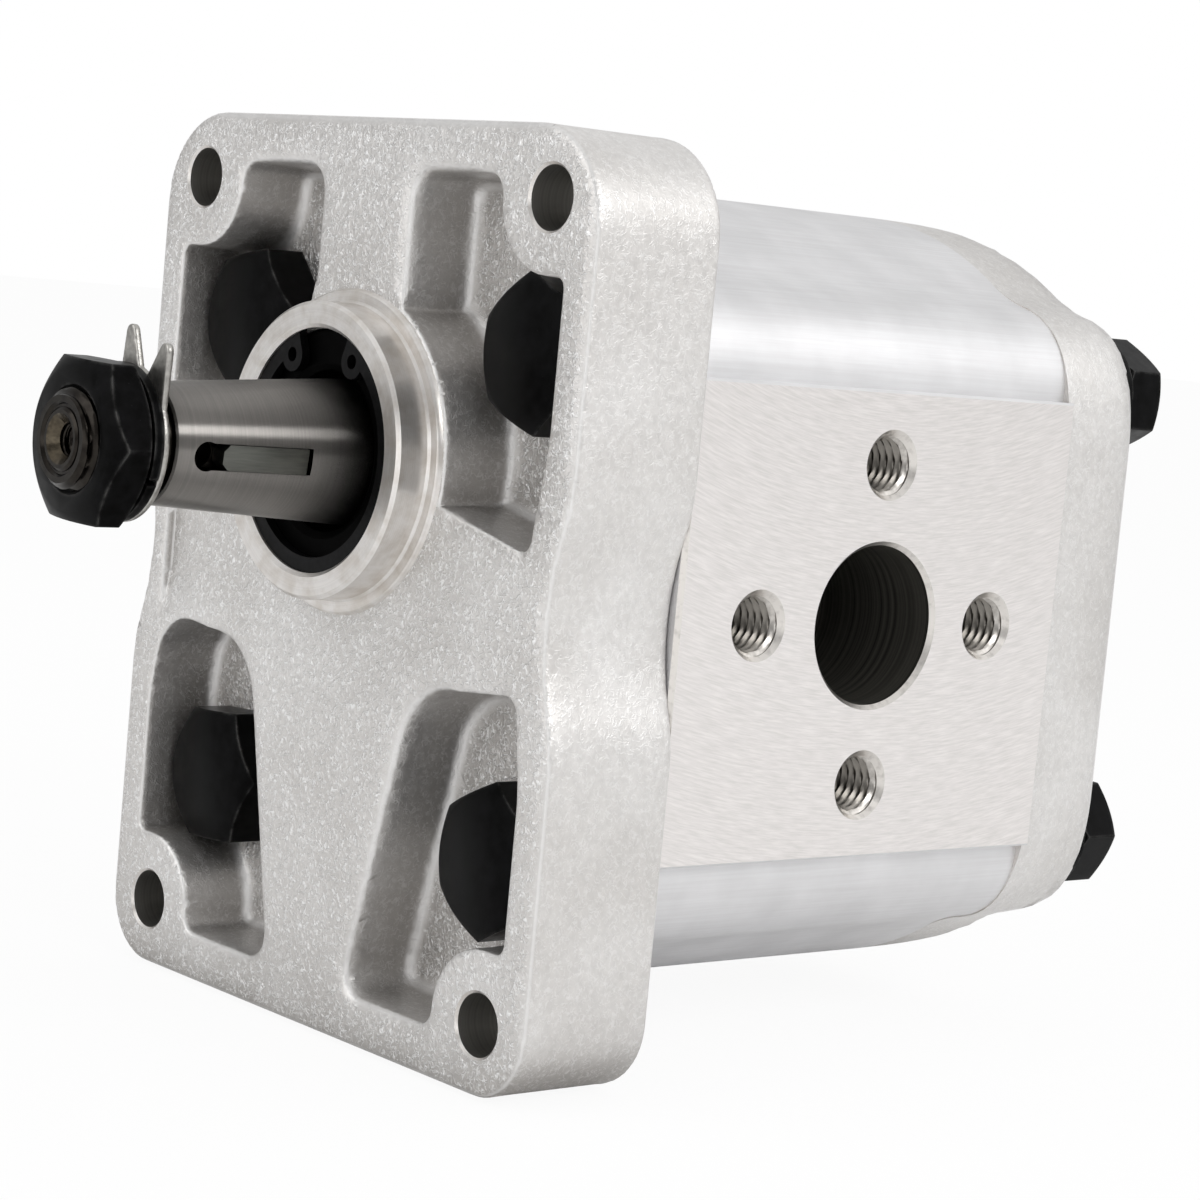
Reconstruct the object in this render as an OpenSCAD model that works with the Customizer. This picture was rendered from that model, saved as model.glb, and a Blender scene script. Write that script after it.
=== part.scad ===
// External gear pump with a pocketed cast mounting flange and a taper shaft.
// Millimetres. The origin lies on the drive shaft's axis in the flange's mounting face.
// +X is the suction port's side, +Y runs back through the pump and +Z is up.

/* [Flange] */
// Width left from each mounting hole's centre to the flange's side
mount_edge_x = 8.75; // [8:0.25:12]
// Height left from each mounting hole's centre to the flange's top or bottom
mount_edge_z = 8.5; // [8:0.25:12]
// Thickness of the mounting flange
flange_t = 19; // [18:0.5:26]
// Radius of the flange's corners
flange_corner_r = 8.5; // [5:0.5:12]
// How far each side of the flange is drawn in at its waist
waist_d = 2.8; // [1:0.1:4]
// Radius of the hollow curve at the waist
waist_r = 33; // [20:1:60]
// Radius of the round shoulders beside the waist
waist_blend_r = 20; // [10:1:40]
// Spacing of the mounting holes across the flange
mount_sx = 71.5; // [70:0.5:74]
// Spacing of the mounting holes up the flange
mount_sz = 96; // [94:0.5:98]
// Diameter of the mounting holes
mount_hole_d = 8.5; // [8:0.1:9]
// Radius of the boss left round each mounting hole
mount_boss_r = 8.9; // [7.5:0.1:9.5]

/* [Pilot and seal seat] */
// Diameter of the pilot that centres the pump
pilot_d = 36.5; // [36:0.1:38]
// Height of the pilot in front of the mounting face
pilot_h = 5.2; // [4.6:0.1:7]
// Diameter of the land left round the pilot between the upper pockets
pilot_land_d = 41.4; // [40.5:0.1:43]
// Bore that holds the shaft seal
seal_bore_d = 30; // [28:0.5:31]
// Width of the shaft seal
seal_t = 7; // [6:0.5:8]
// Thickness of the retaining ring
circlip_t = 1.2; // [1:0.1:1.5]

/* [Flange pockets] */
// Depth of the pockets round the bolt heads
pocket_depth = 10; // [8:0.5:11]
// Rim left above the upper and below the lower pockets
pocket_rim = 6; // [4:0.5:8]
// Gap between the bolt heads and the pockets' outer walls
head_gap = 0.1; // [0.05:0.05:1]
// Half width of the rib between the pockets, at its ends
rib_half = 9.4; // [7:0.1:11]
// How much wider the rib is at the lower pockets' heads
rib_flare = 8.2; // [4:0.2:9]
// Height by which the lower end of the upper pockets slants
pocket_slant = 4.6; // [2:0.2:6]
// Radius of the lower pockets' inner upper corners
pocket_turn_r = 10; // [6:0.5:11]
// Height of the web between the upper and the lower pockets
pocket_web = 16.4; // [12:0.2:20]

/* [Body] */
// Length of the extruded body
body_len = 66; // [60:1:80]
// Half width of the body over its port pads
pad_x = 43; // [42:0.5:44]
// Height of the milled port pads
pad_h = 58.3; // [54:0.5:60]
// Radius of the body's crown
crown_r = 47; // [46:0.5:50]
// Distance of each crown's centre from the middle of the body
crown_shift = 4.5; // [3:0.5:6]
// Radius of the body round its long bolts
boss_r = 11; // [9:0.5:12]
// Radius of the hollow that blends crown and boss
crown_blend_r = 20; // [10:1:30]

/* [Rear cover] */
// Thickness of the rear cover
cover_t = 16.5; // [14:0.5:22]
// Half width of the rear cover
cover_x = 42; // [41:0.5:43]
// Radius of the cover's rear edges
cover_edge_r = 5.5; // [3:0.5:6]

/* [Gears] */
// Distance between the two gear axes
centre_distance = 31; // [30:0.5:32]
// Number of teeth on each gear
teeth = 12; // [11:1:14]
// Pressure angle of the teeth
pressure_angle = 25; // [24:0.5:27]
// Width of the gears
gear_w = 28; // [20:1:34]
// Diameter of the shaft journals
journal_d = 18; // [16:0.5:18]
// Wall of the plain bearing liners
liner_wall = 1; // [0.8:0.1:1.5]

/* [Shaft end] */
// Reach of the drive shaft in front of the mounting face
shaft_reach = 40; // [39.6:0.2:44]
// Start of the taper in front of the mounting face
taper_start = 0.5; // [0.2:0.1:2]
// Length of the taper
taper_len = 28.2; // [26:0.2:29]
// Taper of the shaft as length over diameter change
taper_ratio = 8; // [5:1:10]
// Diameter of the shaft's thread
thread_d = 12; // [10:0.5:12]
// Width of the key
key_w = 3.2; // [3:0.1:4]
// Length of the key
key_len = 11.6; // [9:0.2:12]
// Depth of the key's seat below the taper
key_depth = 2.6; // [1.5:0.1:3]
// Angle of the key round the shaft
key_angle = -6; // [-20:1:20]
// Width across flats of the shaft nut
shaft_nut_af = 18; // [17:0.5:20]
// Thickness of the shaft nut
shaft_nut_t = 5.5; // [5:0.5:6.5]
// Outside diameter of the washers behind the shaft nut
shaft_washer_d = 18.7; // [17:0.1:19]
// Thickness of the tab washer
tab_washer_t = 0.8; // [0.5:0.1:1]
// Thickness of the spring washer
spring_washer_t = 1.2; // [1:0.1:1.8]

/* [Long bolts] */
// Diameter of the long bolts
bolt_d = 10; // [8:0.5:10]
// Spacing of the long bolts across the pump
bolt_sx = 59.2; // [58:0.2:61]
// Spacing of the long bolts up the pump
bolt_sz = 60.3; // [58:0.2:62]
// Width across flats of the bolt heads
head_af = 17; // [15:0.5:17]
// Height of the bolt heads
head_t = 6.4; // [5:0.2:7]
// Width across flats of the rear nuts
nut_af = 13.6; // [13:0.1:16]
// Thickness of the rear nuts
nut_t = 7; // [5:0.5:9]
// Outside diameter of the rear washers
washer_d = 16; // [14:0.5:17]
// Thickness of the rear washers
washer_t = 1.6; // [1:0.1:2.5]

/* [Ports] */
// Bore of the suction port
inlet_d = 20; // [16:0.5:20]
// Pitch circle of the screws round the suction port
inlet_pcd = 40; // [38:0.5:42]
// Tapping bore of the screws round the suction port
inlet_tap_d = 6.8; // [6:0.1:7]
// Bore of the pressure port
outlet_d = 13.5; // [12:0.5:15]
// Pitch circle of the screws round the pressure port
outlet_pcd = 30; // [29:0.5:35]
// Tapping bore of the screws round the pressure port
outlet_tap_d = 5; // [4.2:0.1:5.5]
// Depth of the tapped holes
tap_depth = 15; // [12:0.5:17]
// Depth of each port's full bore
port_depth = 20; // [15:0.5:22]
// Narrowing of each port's passage where it opens into the gear chamber
port_step = 1; // [0.5:0.1:2]

/* [Seals and dowels] */
// Thickness of the body seals
seal_cord_d = 2; // [1.6:0.1:2.4]
// Width of the pressure seals on the bearing blocks
pressure_seal_w = 2.4; // [2:0.1:3]
// Diameter of the dowels
dowel_d = 6; // [5:0.5:7]
// Length of the dowels
dowel_len = 12; // [8:0.5:14]

/* [Hidden] */
$fn = 96;

// Small gaps shared by the whole pump
run_gap = 0.04;
side_gap = 0.05;
fit_gap = 0.03;
cut = 1;
arc_steps = 8;

// Places along the shaft
mid_z = -centre_distance / 2;
body_y0 = flange_t;
body_y1 = body_y0 + body_len;
cover_y1 = body_y1 + cover_t;
gear_y0 = (body_y0 + body_y1 - gear_w) / 2;
gear_y1 = gear_y0 + gear_w;
port_y = (body_y0 + body_y1) / 2;

// Flange
flange_h = mount_sz + 2 * mount_edge_z;
flange_x = mount_sx / 2 + mount_edge_x;
flange_top = mid_z + flange_h / 2;
flange_bottom = mid_z - flange_h / 2;
waist_h = sqrt(2 * waist_d * (waist_r + waist_blend_r) - waist_d * waist_d);
waist_a = atan2(waist_h, waist_r + waist_blend_r - waist_d);
pocket_x = bolt_sx / 2 + head_af / sqrt(3) + head_gap;
pocket_waist = pocket_x - waist_d * 0.7;
pocket_corner_r = 3;
pocket_small_r = 1.5;
pocket_boss_x = mount_sx / 2 - mount_boss_r;
pocket_boss_r = min(pocket_small_r, (pocket_x - mount_sx / 2) * 0.45);
pocket_bend = 13;
pocket_end_dip = 1.8;
web_z = mid_z - 1;
pilot_r = pilot_d / 2;
land_r = pilot_land_d / 2;
pilot_chamfer = 0.4;

// Seal seat
circlip_y = -pilot_h + 0.8;
seal_y0 = circlip_y + circlip_t + 0.1;
seal_y1 = seal_y0 + seal_t;
seal_r = seal_bore_d / 2;
circlip_groove = 0.7;
shaft_hole_r = journal_d / 2 + 1.5;

// Gears
module_size = centre_distance / teeth;
pitch_r = centre_distance / 2;
base_r = pitch_r * cos(pressure_angle);
tip_r = pitch_r + module_size;
root_r = centre_distance - tip_r - 0.35;
backlash_a = 0.3;
bore_r = tip_r + 0.07;
block_r = bore_r - fit_gap;
journal_r = journal_d / 2;
liner_r = journal_r + run_gap + liner_wall;

// Taper end of the shaft
taper_y1 = -taper_start;
taper_y0 = taper_y1 - taper_len;
taper_end_r = journal_r - taper_len / taper_ratio / 2;
taper_a = atan(0.5 / taper_ratio);
tab_y1 = taper_y0 - 2.3;
tab_y0 = tab_y1 - tab_washer_t;
spring_y0 = tab_y0 - spring_washer_t;
shaft_nut_y0 = spring_y0 - shaft_nut_t;
thread_r = thread_d / 2;
washer_r = shaft_washer_d / 2;
tab_angles = [[97.6, 90.6, 70.6], [61.9, 58.4, 23]];
tab_root_r = washer_r - 0.45;
tab_apex_r = washer_r + 7.75;
tab_tip_r = 1;
key_y0 = taper_y0 + 6.2;

// Long bolts
bolt_x = bolt_sx / 2;
bolt_up = mid_z + bolt_sz / 2;
bolt_low = mid_z - bolt_sz / 2;
bolt_r = bolt_d / 2;
bolt_hole_r = bolt_r + 0.25;
spot_depth = 0.5;
spot_r = washer_d / 2 + 0.5;
washer_y0 = cover_y1 - spot_depth;
nut_y0 = washer_y0 + washer_t;
nut_y1 = nut_y0 + nut_t;

// Seals
seal_path_r = bore_r + seal_cord_d / 2 + 2.6;
groove_half = seal_cord_d / 2 + 0.2;
pressure_r = liner_r + pressure_seal_w / 2 + 2;
pressure_depth = 2.4;
backup_t = 0.8;
dowel_x = 36;

function polar(r, a) = r * [cos(a), sin(a)];
function arc(c, r, a0, a1) = [for (i = [0 : arc_steps]) c + polar(r, a0 + (a1 - a0) * i / arc_steps)];
function inner_arc(c, r, a0, a1) =
    [for (i = [1 : arc_steps - 1]) c + polar(r, a0 + (a1 - a0) * i / arc_steps)];
function turn(a) = a > 180 ? a - 360 : (a < -180 ? a + 360 : a);
function unit(v) = v / norm(v);
function angle_of(v) = atan2(v[1], v[0]);

// One corner of an outline, rounded by its own radius
function corner(p, v, n, r) =
    r == 0 ? [v] :
    let (a = unit(p - v), b = unit(n - v), half = acos(a * b) / 2,
         c = v + unit(a + b) * r / sin(half), t = r / tan(half),
         a0 = angle_of(v + a * t - c), da = turn(angle_of(v + b * t - c) - a0))
    arc(c, r, a0, a0 + da);

// An outline of [x, z, radius] corners with every corner rounded
function rounded(q) =
    let (n = len(q))
    [for (i = [0 : n - 1])
        let (p = q[(i + n - 1) % n], v = q[i], s = q[(i + 1) % n])
        each corner([p[0], p[1]], [v[0], v[1]], [s[0], s[1]], v[2])];

// Slab of an X-Z outline from y0 back to y1
module slab(y0, y1) {
    translate([0, y1, 0]) rotate([90, 0, 0]) linear_extrude(height = y1 - y0) children();
}

// Round bar along Y, at x and z, from y0 back to y1
module bar(y0, y1, r, x = 0, z = 0) {
    translate([x, y1, z]) rotate([90, 0, 0]) cylinder(h = y1 - y0, r = r);
}

// Cone along Y with radius r0 at y0 and r1 at y1
module cone(y0, y1, r0, r1, x = 0, z = 0) {
    translate([x, y1, z]) rotate([90, 0, 0]) cylinder(h = y1 - y0, r1 = r1, r2 = r0);
}

// Solid of revolution about the Y axis from an outline of [radius, y] points
module turned(points, x = 0, z = 0) {
    translate([x, 0, z]) rotate([-90, 0, 0]) rotate_extrude() polygon(points);
}

// Children repeated at the four mounting holes
module at_mounts() {
    for (sx = [-1, 1], sz = [-1, 1]) translate([sx * mount_sx / 2, 0, mid_z + sz * mount_sz / 2]) children();
}

// Children repeated at the four long bolts
module at_bolts() {
    for (sx = [-1, 1], z = [bolt_up, bolt_low]) translate([sx * bolt_x, 0, z]) children();
}

// Children on both gear axes
module at_gears() {
    for (z = [0, -centre_distance]) translate([0, 0, z]) children();
}

// Hexagon by its width across flats, with a corner at the given angle
module hexagon(af, a) {
    rotate(a) circle(r = af / sqrt(3), $fn = 6);
}

// Hexagon bar from y0 to y1 whose corners are bevelled at the front, the back or both
module hex_bar(y0, y1, af, a, front, back) {
    r = af / sqrt(3);
    flat = 0.475 * af;
    drop = (r - flat) * tan(30);
    points = concat([[0, y0]],
        front ? [[flat, y0], [r, y0 + drop]] : [[r, y0]],
        back ? [[r, y1 - drop], [flat, y1]] : [[r, y1]],
        [[0, y1]]);
    intersection() {
        slab(y0, y1) hexagon(af, a);
        turned([for (p = points) [p[0] * 1.0005, p[1]]]);
    }
}

// The pair of bores, or of blocks, round both gear axes
module figure_eight(r) {
    translate([0, 0]) circle(r = r);
    translate([0, -centre_distance]) circle(r = r);
}

// Outline of the casting: round corners and a waist on both sides
function flange_side() = concat(
    arc([flange_x - waist_blend_r, -waist_h], waist_blend_r, 0, waist_a),
    inner_arc([flange_x - waist_d + waist_r, 0], waist_r, 180 + waist_a, 180 - waist_a),
    arc([flange_x - waist_blend_r, waist_h], waist_blend_r, -waist_a, 0));

function corner_x() = flange_x - flange_corner_r;
function corner_z() = flange_h / 2 - flange_corner_r;

module flange_outline() {
    right = concat(arc([corner_x(), -corner_z()], flange_corner_r, -90, 0),
        flange_side(), arc([corner_x(), corner_z()], flange_corner_r, 0, 90));
    left = [for (p = right) -p];
    translate([0, mid_z]) polygon(concat(right, left));
}

// Outline of the pocket round an upper bolt head, on the right
module upper_pocket() {
    top = flange_top - pocket_rim;
    boss_z = mid_z + mount_sz / 2 - mount_boss_r;
    foot = web_z + pocket_web / 2;
    difference() {
        polygon(rounded([
            [rib_half, top, pocket_corner_r],
            [pocket_boss_x, top, pocket_small_r],
            [pocket_boss_x, boss_z, mount_boss_r],
            [pocket_x, boss_z, pocket_boss_r],
            [pocket_x, foot + pocket_bend, waist_blend_r],
            [pocket_waist, foot, pocket_small_r],
            [land_r * 0.8, foot + pocket_slant, 0],
            [rib_half, foot + pocket_slant, 0]]));
        circle(r = land_r);
    }
}

// Outline of the pocket round a lower bolt head, on the right
module lower_pocket() {
    bottom = flange_bottom + pocket_rim;
    boss_z = mid_z - mount_sz / 2 + mount_boss_r;
    head = web_z - pocket_web / 2;
    polygon(rounded([
        [pocket_waist, head, pocket_small_r],
        [rib_half + rib_flare, head - pocket_end_dip, pocket_turn_r],
        [rib_half - 1, bottom, pocket_corner_r],
        [pocket_boss_x, bottom, pocket_small_r],
        [pocket_boss_x, boss_z, mount_boss_r],
        [pocket_x, boss_z, pocket_boss_r],
        [pocket_x, head - pocket_bend, waist_blend_r]]));
}

// Closed seal path round both gears: a ring of the given inner and outer radius
module seal_ring(inner, outer) {
    difference() {
        track(outer);
        track(inner);
    }
}

module track(r) {
    figure_eight(r);
    translate([-r, -centre_distance]) square([2 * r, centre_distance]);
}

// Round cord along the closed seal path
module seal_cord(y) {
    r = seal_cord_d / 2;
    for (s = [0, 1])
        translate([0, y, -s * centre_distance]) rotate([-90, 0, 0]) rotate([0, 0, s * 180 + 180])
            rotate_extrude(angle = 180) translate([seal_path_r, 0]) circle(r = r, $fn = 24);
    for (x = [-seal_path_r, seal_path_r])
        translate([x, y, -centre_distance]) cylinder(h = centre_distance, r = r, $fn = 24);
}

module front_flange() {
    color("lightgray") difference() {
        union() {
            slab(0, flange_t) flange_outline();
            turned([[0, cut], [0, -pilot_h], [pilot_r - pilot_chamfer, -pilot_h],
                [pilot_r, -pilot_h + pilot_chamfer], [pilot_r, cut]]);
        }
        for (s = [0, 1]) mirror([s, 0, 0]) {
            slab(-cut, pocket_depth) upper_pocket();
            slab(-cut, pocket_depth) lower_pocket();
        }
        at_mounts() {
            bar(-cut, flange_t + cut, mount_hole_d / 2);
            cone(-0.01, 0.6, mount_hole_d / 2 + 0.6, mount_hole_d / 2);
        }
        at_bolts() bar(pocket_depth - cut, flange_t + cut, bolt_hole_r);
        bar(-pilot_h - cut, seal_y1, seal_r);
        cone(-pilot_h - 0.01, -pilot_h + 0.5, seal_r + 0.5, seal_r);
        bar(circlip_y, circlip_y + circlip_t, seal_r + circlip_groove);
        bar(seal_y1 - cut, flange_t + cut, shaft_hole_r);
        bar(flange_t - 3, flange_t + cut, shaft_hole_r, 0, -centre_distance);
        slab(flange_t - seal_cord_d, flange_t + cut) seal_ring(seal_path_r - groove_half, seal_path_r + groove_half);
        for (s = [-1, 1]) bar(flange_t - dowel_len / 2, flange_t + cut, dowel_d / 2, s * dowel_x, mid_z);
    }
}

// Hollow blend between a crown and a bolt boss in the upper right quarter
module crown_blend() {
    c1 = [0, mid_z + crown_shift];
    c2 = [bolt_x, bolt_up];
    r1 = crown_r + crown_blend_r;
    r2 = boss_r + crown_blend_r;
    d = norm(c2 - c1);
    along = (r1 * r1 - r2 * r2 + d * d) / (2 * d);
    up = sqrt(r1 * r1 - along * along);
    dir = unit(c2 - c1);
    c = c1 + dir * along + [-dir[1], dir[0]] * up;
    difference() {
        polygon([c1 + unit(c - c1) * (crown_r - 6), c1 + unit(c - c1) * crown_r, c,
            c2 + unit(c - c2) * boss_r, c2]);
        translate(c) circle(r = crown_blend_r - 0.03);
    }
}

// The four hollow blends between the crowns and the bolt bosses
module crown_blends(y0, y1) {
    for (sx = [0, 1], sz = [0, 1])
        translate([0, 0, mid_z]) mirror([sx, 0, 0]) mirror([0, 0, sz]) translate([0, 0, -mid_z])
            slab(y0, y1) crown_blend();
}

// Block of the body's profile from y0 back to y1
module body_block(y0, y1) {
    side = bolt_x + boss_r;
    intersection() {
        for (s = [-1, 1]) bar(y0, y1, crown_r, 0, mid_z + s * crown_shift);
        translate([-side, y0, mid_z - flange_h]) cube([2 * side, y1 - y0, 2 * flange_h]);
    }
    at_bolts() bar(y0, y1, boss_r);
    crown_blends(y0, y1);
    translate([-pad_x, y0, mid_z - pad_h / 2]) cube([2 * pad_x, y1 - y0, pad_h]);
}

// Port on the side given by s: its bore and four tapped holes in a cross
module port(s, d, pcd, tap_d) {
    translate([s * pad_x, port_y, mid_z]) rotate([0, s * 90, 0]) {
        translate([0, 0, -port_depth]) cylinder(h = port_depth + cut, r = d / 2);
        translate([0, 0, -pad_x + 3]) cylinder(h = pad_x, r = d / 2 - port_step);
        translate([0, 0, -0.6]) cylinder(h = 0.61, r1 = d / 2, r2 = d / 2 + 0.6);
        for (a = [0 : 90 : 270]) rotate(a) translate([pcd / 2, 0, 0]) {
            translate([0, 0, -tap_depth]) cylinder(h = tap_depth + cut, r = tap_d / 2);
            translate([0, 0, -1.1]) cylinder(h = 1.11, r1 = tap_d / 2, r2 = tap_d / 2 + 1.1);
        }
    }
}

module pump_body() {
    color("gainsboro") difference() {
        body_block(body_y0, body_y1);
        slab(body_y0 - cut, body_y1 + cut) figure_eight(bore_r);
        at_bolts() bar(body_y0 - cut, body_y1 + cut, bolt_hole_r);
        port(1, inlet_d, inlet_pcd, inlet_tap_d);
        port(-1, outlet_d, outlet_pcd, outlet_tap_d);
        for (s = [-1, 1]) {
            bar(body_y0 - cut, body_y0 + dowel_len / 2, dowel_d / 2, s * dowel_x, mid_z);
            bar(body_y1 - dowel_len / 2, body_y1 + cut, dowel_d / 2, s * dowel_x, mid_z);
        }
    }
}

// Disc with a round rear rim, used for the crowns and the bolt bosses of the cover
module rimmed_disc(r, x, z) {
    e = cover_edge_r;
    turned(concat([[0, body_y1], [r, body_y1]],
        [for (p = arc([r - e, cover_y1 - e], e, 0, 90)) p], [[0, cover_y1]]), x, z);
}

// Block with round rear side edges, between the two rows of bolts
module cover_core(x, z0, z1) {
    e = cover_edge_r;
    translate([0, 0, z0]) linear_extrude(height = z1 - z0)
        polygon(concat([[-x, body_y1], [x, body_y1]],
            arc([x - e, cover_y1 - e], e, 0, 90), arc([-x + e, cover_y1 - e], e, 90, 180)));
}

module rear_cover() {
    color("lightgray") difference() {
        union() {
            intersection() {
                for (s = [-1, 1]) rimmed_disc(crown_r, 0, mid_z + s * crown_shift);
                cover_core(bolt_x + boss_r, flange_bottom, flange_top);
            }
            cover_core(cover_x, bolt_low, bolt_up);
            for (sx = [-1, 1], z = [bolt_up, bolt_low]) rimmed_disc(boss_r, sx * bolt_x, z);
            crown_blends(body_y1, cover_y1 - cover_edge_r);
        }
        at_bolts() {
            bar(body_y1 - cut, cover_y1 + cut, bolt_hole_r);
            bar(washer_y0, cover_y1 + cut, spot_r);
        }
        at_gears() bar(body_y1 - cut, body_y1 + 3, shaft_hole_r);
        slab(body_y1 - cut, body_y1 + seal_cord_d) seal_ring(seal_path_r - groove_half, seal_path_r + groove_half);
        for (s = [-1, 1]) bar(body_y1 - cut, body_y1 + dowel_len / 2, dowel_d / 2, s * dowel_x, mid_z);
    }
}

// Open path of the pressure seal: round both journals and along the suction side
module pressure_track(w) {
    intersection() {
        union() for (z = [0, -centre_distance]) translate([0, z]) difference() {
            circle(r = pressure_r + w / 2);
            circle(r = pressure_r - w / 2);
        }
        translate([-bore_r, -centre_distance - bore_r]) square([bore_r + 6, centre_distance + 2 * bore_r]);
    }
}

// Bearing block from y0 to y1, with its seal groove in the face given by s
module bearing_block(y0, y1, s) {
    difference() {
        slab(y0, y1) figure_eight(block_r);
        at_gears() bar(y0 - cut, y1 + cut, liner_r);
        slab(s < 0 ? y0 - cut : y1 - pressure_depth, s < 0 ? y0 + pressure_depth : y1 + cut)
            pressure_track(pressure_seal_w);
    }
}

module front_bearing_block() {
    color("silver") bearing_block(body_y0 + fit_gap, gear_y0 - side_gap, -1);
}

module rear_bearing_block() {
    color("silver") bearing_block(gear_y1 + side_gap, body_y1 - fit_gap, 1);
}

// Plain bearing liners of one block
module liners(y0, y1) {
    at_gears() difference() {
        bar(y0, y1, liner_r - 0.01);
        bar(y0 - cut, y1 + cut, journal_r + run_gap);
    }
}

module front_bearing_liners() {
    color("peru") liners(body_y0 + fit_gap, gear_y0 - side_gap - 0.3);
}

module rear_bearing_liners() {
    color("peru") liners(gear_y1 + side_gap + 0.3, body_y1 - fit_gap);
}

// Rubber lip seal with a wiping lip that leans back along the shaft
module shaft_seal() {
    lip_r = journal_r + run_gap;
    rim = seal_r - 0.02;
    color("black") turned([
        [rim, seal_y0 + 0.3], [rim - 0.3, seal_y0], [lip_r + 1.8, seal_y0],
        [lip_r + 0.9, seal_y0 + 0.6], [lip_r + 1.5, seal_y0 + 1.6], [lip_r, seal_y0 + 4],
        [lip_r + 0.6, seal_y1 - 1.2], [lip_r + 1.0, seal_y1 - 1.1], [lip_r + 1.5, seal_y0 + 4.5],
        [lip_r + 2.0, seal_y0 + 3.2], [lip_r + 2.6, seal_y0 + 1.8], [seal_r - 1.4, seal_y0 + 1.8],
        [seal_r - 1.4, seal_y1 - 0.6], [rim, seal_y1 - 0.6]]);
}

// Steel cup inside the seal's rubber
module seal_case() {
    lip_r = journal_r + run_gap;
    color("dimgray") turned([
        [seal_r - 1.4, seal_y0 + 1.8], [seal_r - 1.4, seal_y1 - 0.1], [seal_r - 2.2, seal_y1 - 0.1],
        [seal_r - 2.2, seal_y0 + 2.6], [lip_r + 3.0, seal_y0 + 2.6], [lip_r + 3.0, seal_y0 + 1.8]]);
}

// Garter spring that draws the lip on to the shaft
module garter_spring() {
    color("gray") translate([0, seal_y0 + 4.35, 0]) rotate([-90, 0, 0])
        rotate_extrude() translate([journal_r + run_gap + 2.25, 0]) circle(r = 0.6, $fn = 20);
}

// Retaining ring: an open ring with a drilled lug at each end
module seal_circlip() {
    outer = seal_r + circlip_groove - fit_gap;
    inner = seal_r - 1.9;
    lug_r = seal_r - 2.1;
    lug_a = 29;
    color("darkslategray") slab(circlip_y + 0.02, circlip_y + circlip_t - 0.02) difference() {
        union() {
            difference() {
                circle(r = outer);
                circle(r = inner);
                polygon([[0, 0], polar(2 * outer, 90 - lug_a + 9), polar(2 * outer, 90 + lug_a - 9)]);
            }
            for (s = [-1, 1]) intersection() {
                translate(polar(lug_r, 90 + s * lug_a)) circle(r = 2.1);
                circle(r = outer);
            }
        }
        for (s = [-1, 1]) translate(polar(lug_r, 90 + s * lug_a)) circle(r = 0.9);
    }
}

module front_body_seal() {
    color("black") seal_cord(body_y0 - seal_cord_d / 2);
}

module rear_body_seal() {
    color("black") seal_cord(body_y1 + seal_cord_d / 2);
}

module front_pressure_seal() {
    color("black") slab(body_y0 + fit_gap, body_y0 + fit_gap + pressure_depth - backup_t)
        pressure_track(pressure_seal_w - 0.1);
}

module rear_pressure_seal() {
    color("black") slab(body_y1 - fit_gap - pressure_depth + backup_t, body_y1 - fit_gap)
        pressure_track(pressure_seal_w - 0.1);
}

module front_backup_ring() {
    color("ivory") slab(body_y0 + fit_gap + pressure_depth - backup_t, body_y0 + fit_gap + pressure_depth)
        pressure_track(pressure_seal_w - 0.1);
}

module rear_backup_ring() {
    color("ivory") slab(body_y1 - fit_gap - pressure_depth, body_y1 - fit_gap - pressure_depth + backup_t)
        pressure_track(pressure_seal_w - 0.1);
}

// Pair of dowels across the joint at y
module dowels(y) {
    color("silver") for (s = [-1, 1])
        bar(y - dowel_len / 2 + 0.1, y + dowel_len / 2 - 0.1, dowel_d / 2 - 0.01, s * dowel_x, mid_z);
}

module front_dowels() {
    dowels(body_y0);
}

module rear_dowels() {
    dowels(body_y1);
}

// Four long bolts, heads in the flange's pockets and threads at the back
module long_bolts() {
    turns = [12, 38, 3, 27];
    color([0.12, 0.12, 0.13]) for (i = [0 : 3])
        translate([(i % 2 == 0 ? -1 : 1) * bolt_x, 0, i < 2 ? bolt_up : bolt_low]) {
            hex_bar(pocket_depth - head_t, pocket_depth, head_af, turns[i], true, false);
            bar(pocket_depth - cut, nut_y1 + 0.1, bolt_r);
            cone(nut_y1 + 0.1, nut_y1 + 0.5, bolt_r, bolt_r - 0.4);
        }
}

module rear_washers() {
    color([0.12, 0.12, 0.13]) at_bolts() difference() {
        bar(washer_y0, washer_y0 + washer_t, washer_d / 2);
        bar(washer_y0 - cut, washer_y0 + washer_t + cut, bolt_hole_r);
    }
}

module rear_nuts() {
    turns = [10, 28, 41, 1];
    color([0.12, 0.12, 0.13]) for (i = [0 : 3])
        translate([(i % 2 == 0 ? -1 : 1) * bolt_x, 0, i < 2 ? bolt_up : bolt_low]) difference() {
            hex_bar(nut_y0, nut_y1, nut_af, turns[i], true, true);
            bar(nut_y0 - cut, nut_y1 + cut, bolt_r + 0.01);
        }
}

function involute_a(r) = let (a = acos(base_r / r)) tan(a) * 180 / PI - a;

// Half of a tooth's angle at radius r
function half_tooth(r) = 90 / teeth - backlash_a + involute_a(pitch_r) - involute_a(max(r, base_r));

// Involute gear outline with a tooth centred at angle a
module gear_outline(a) {
    flank = [for (i = [0 : 6]) base_r + (tip_r - base_r) * i / 6];
    polygon([for (k = [0 : teeth - 1])
        let (c = a + k * 360 / teeth, foot = 180 / teeth)
        each concat([polar(root_r, c - foot), polar(root_r, c - half_tooth(base_r) - 1.2),
                polar(root_r + 0.6, c - half_tooth(base_r))],
            [for (r = flank) polar(r, c - half_tooth(r))],
            [for (i = [6 : -1 : 0]) polar(flank[i], c + half_tooth(flank[i]))],
            [polar(root_r + 0.6, c + half_tooth(base_r)), polar(root_r, c + half_tooth(base_r) + 1.2)])]);
}

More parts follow.
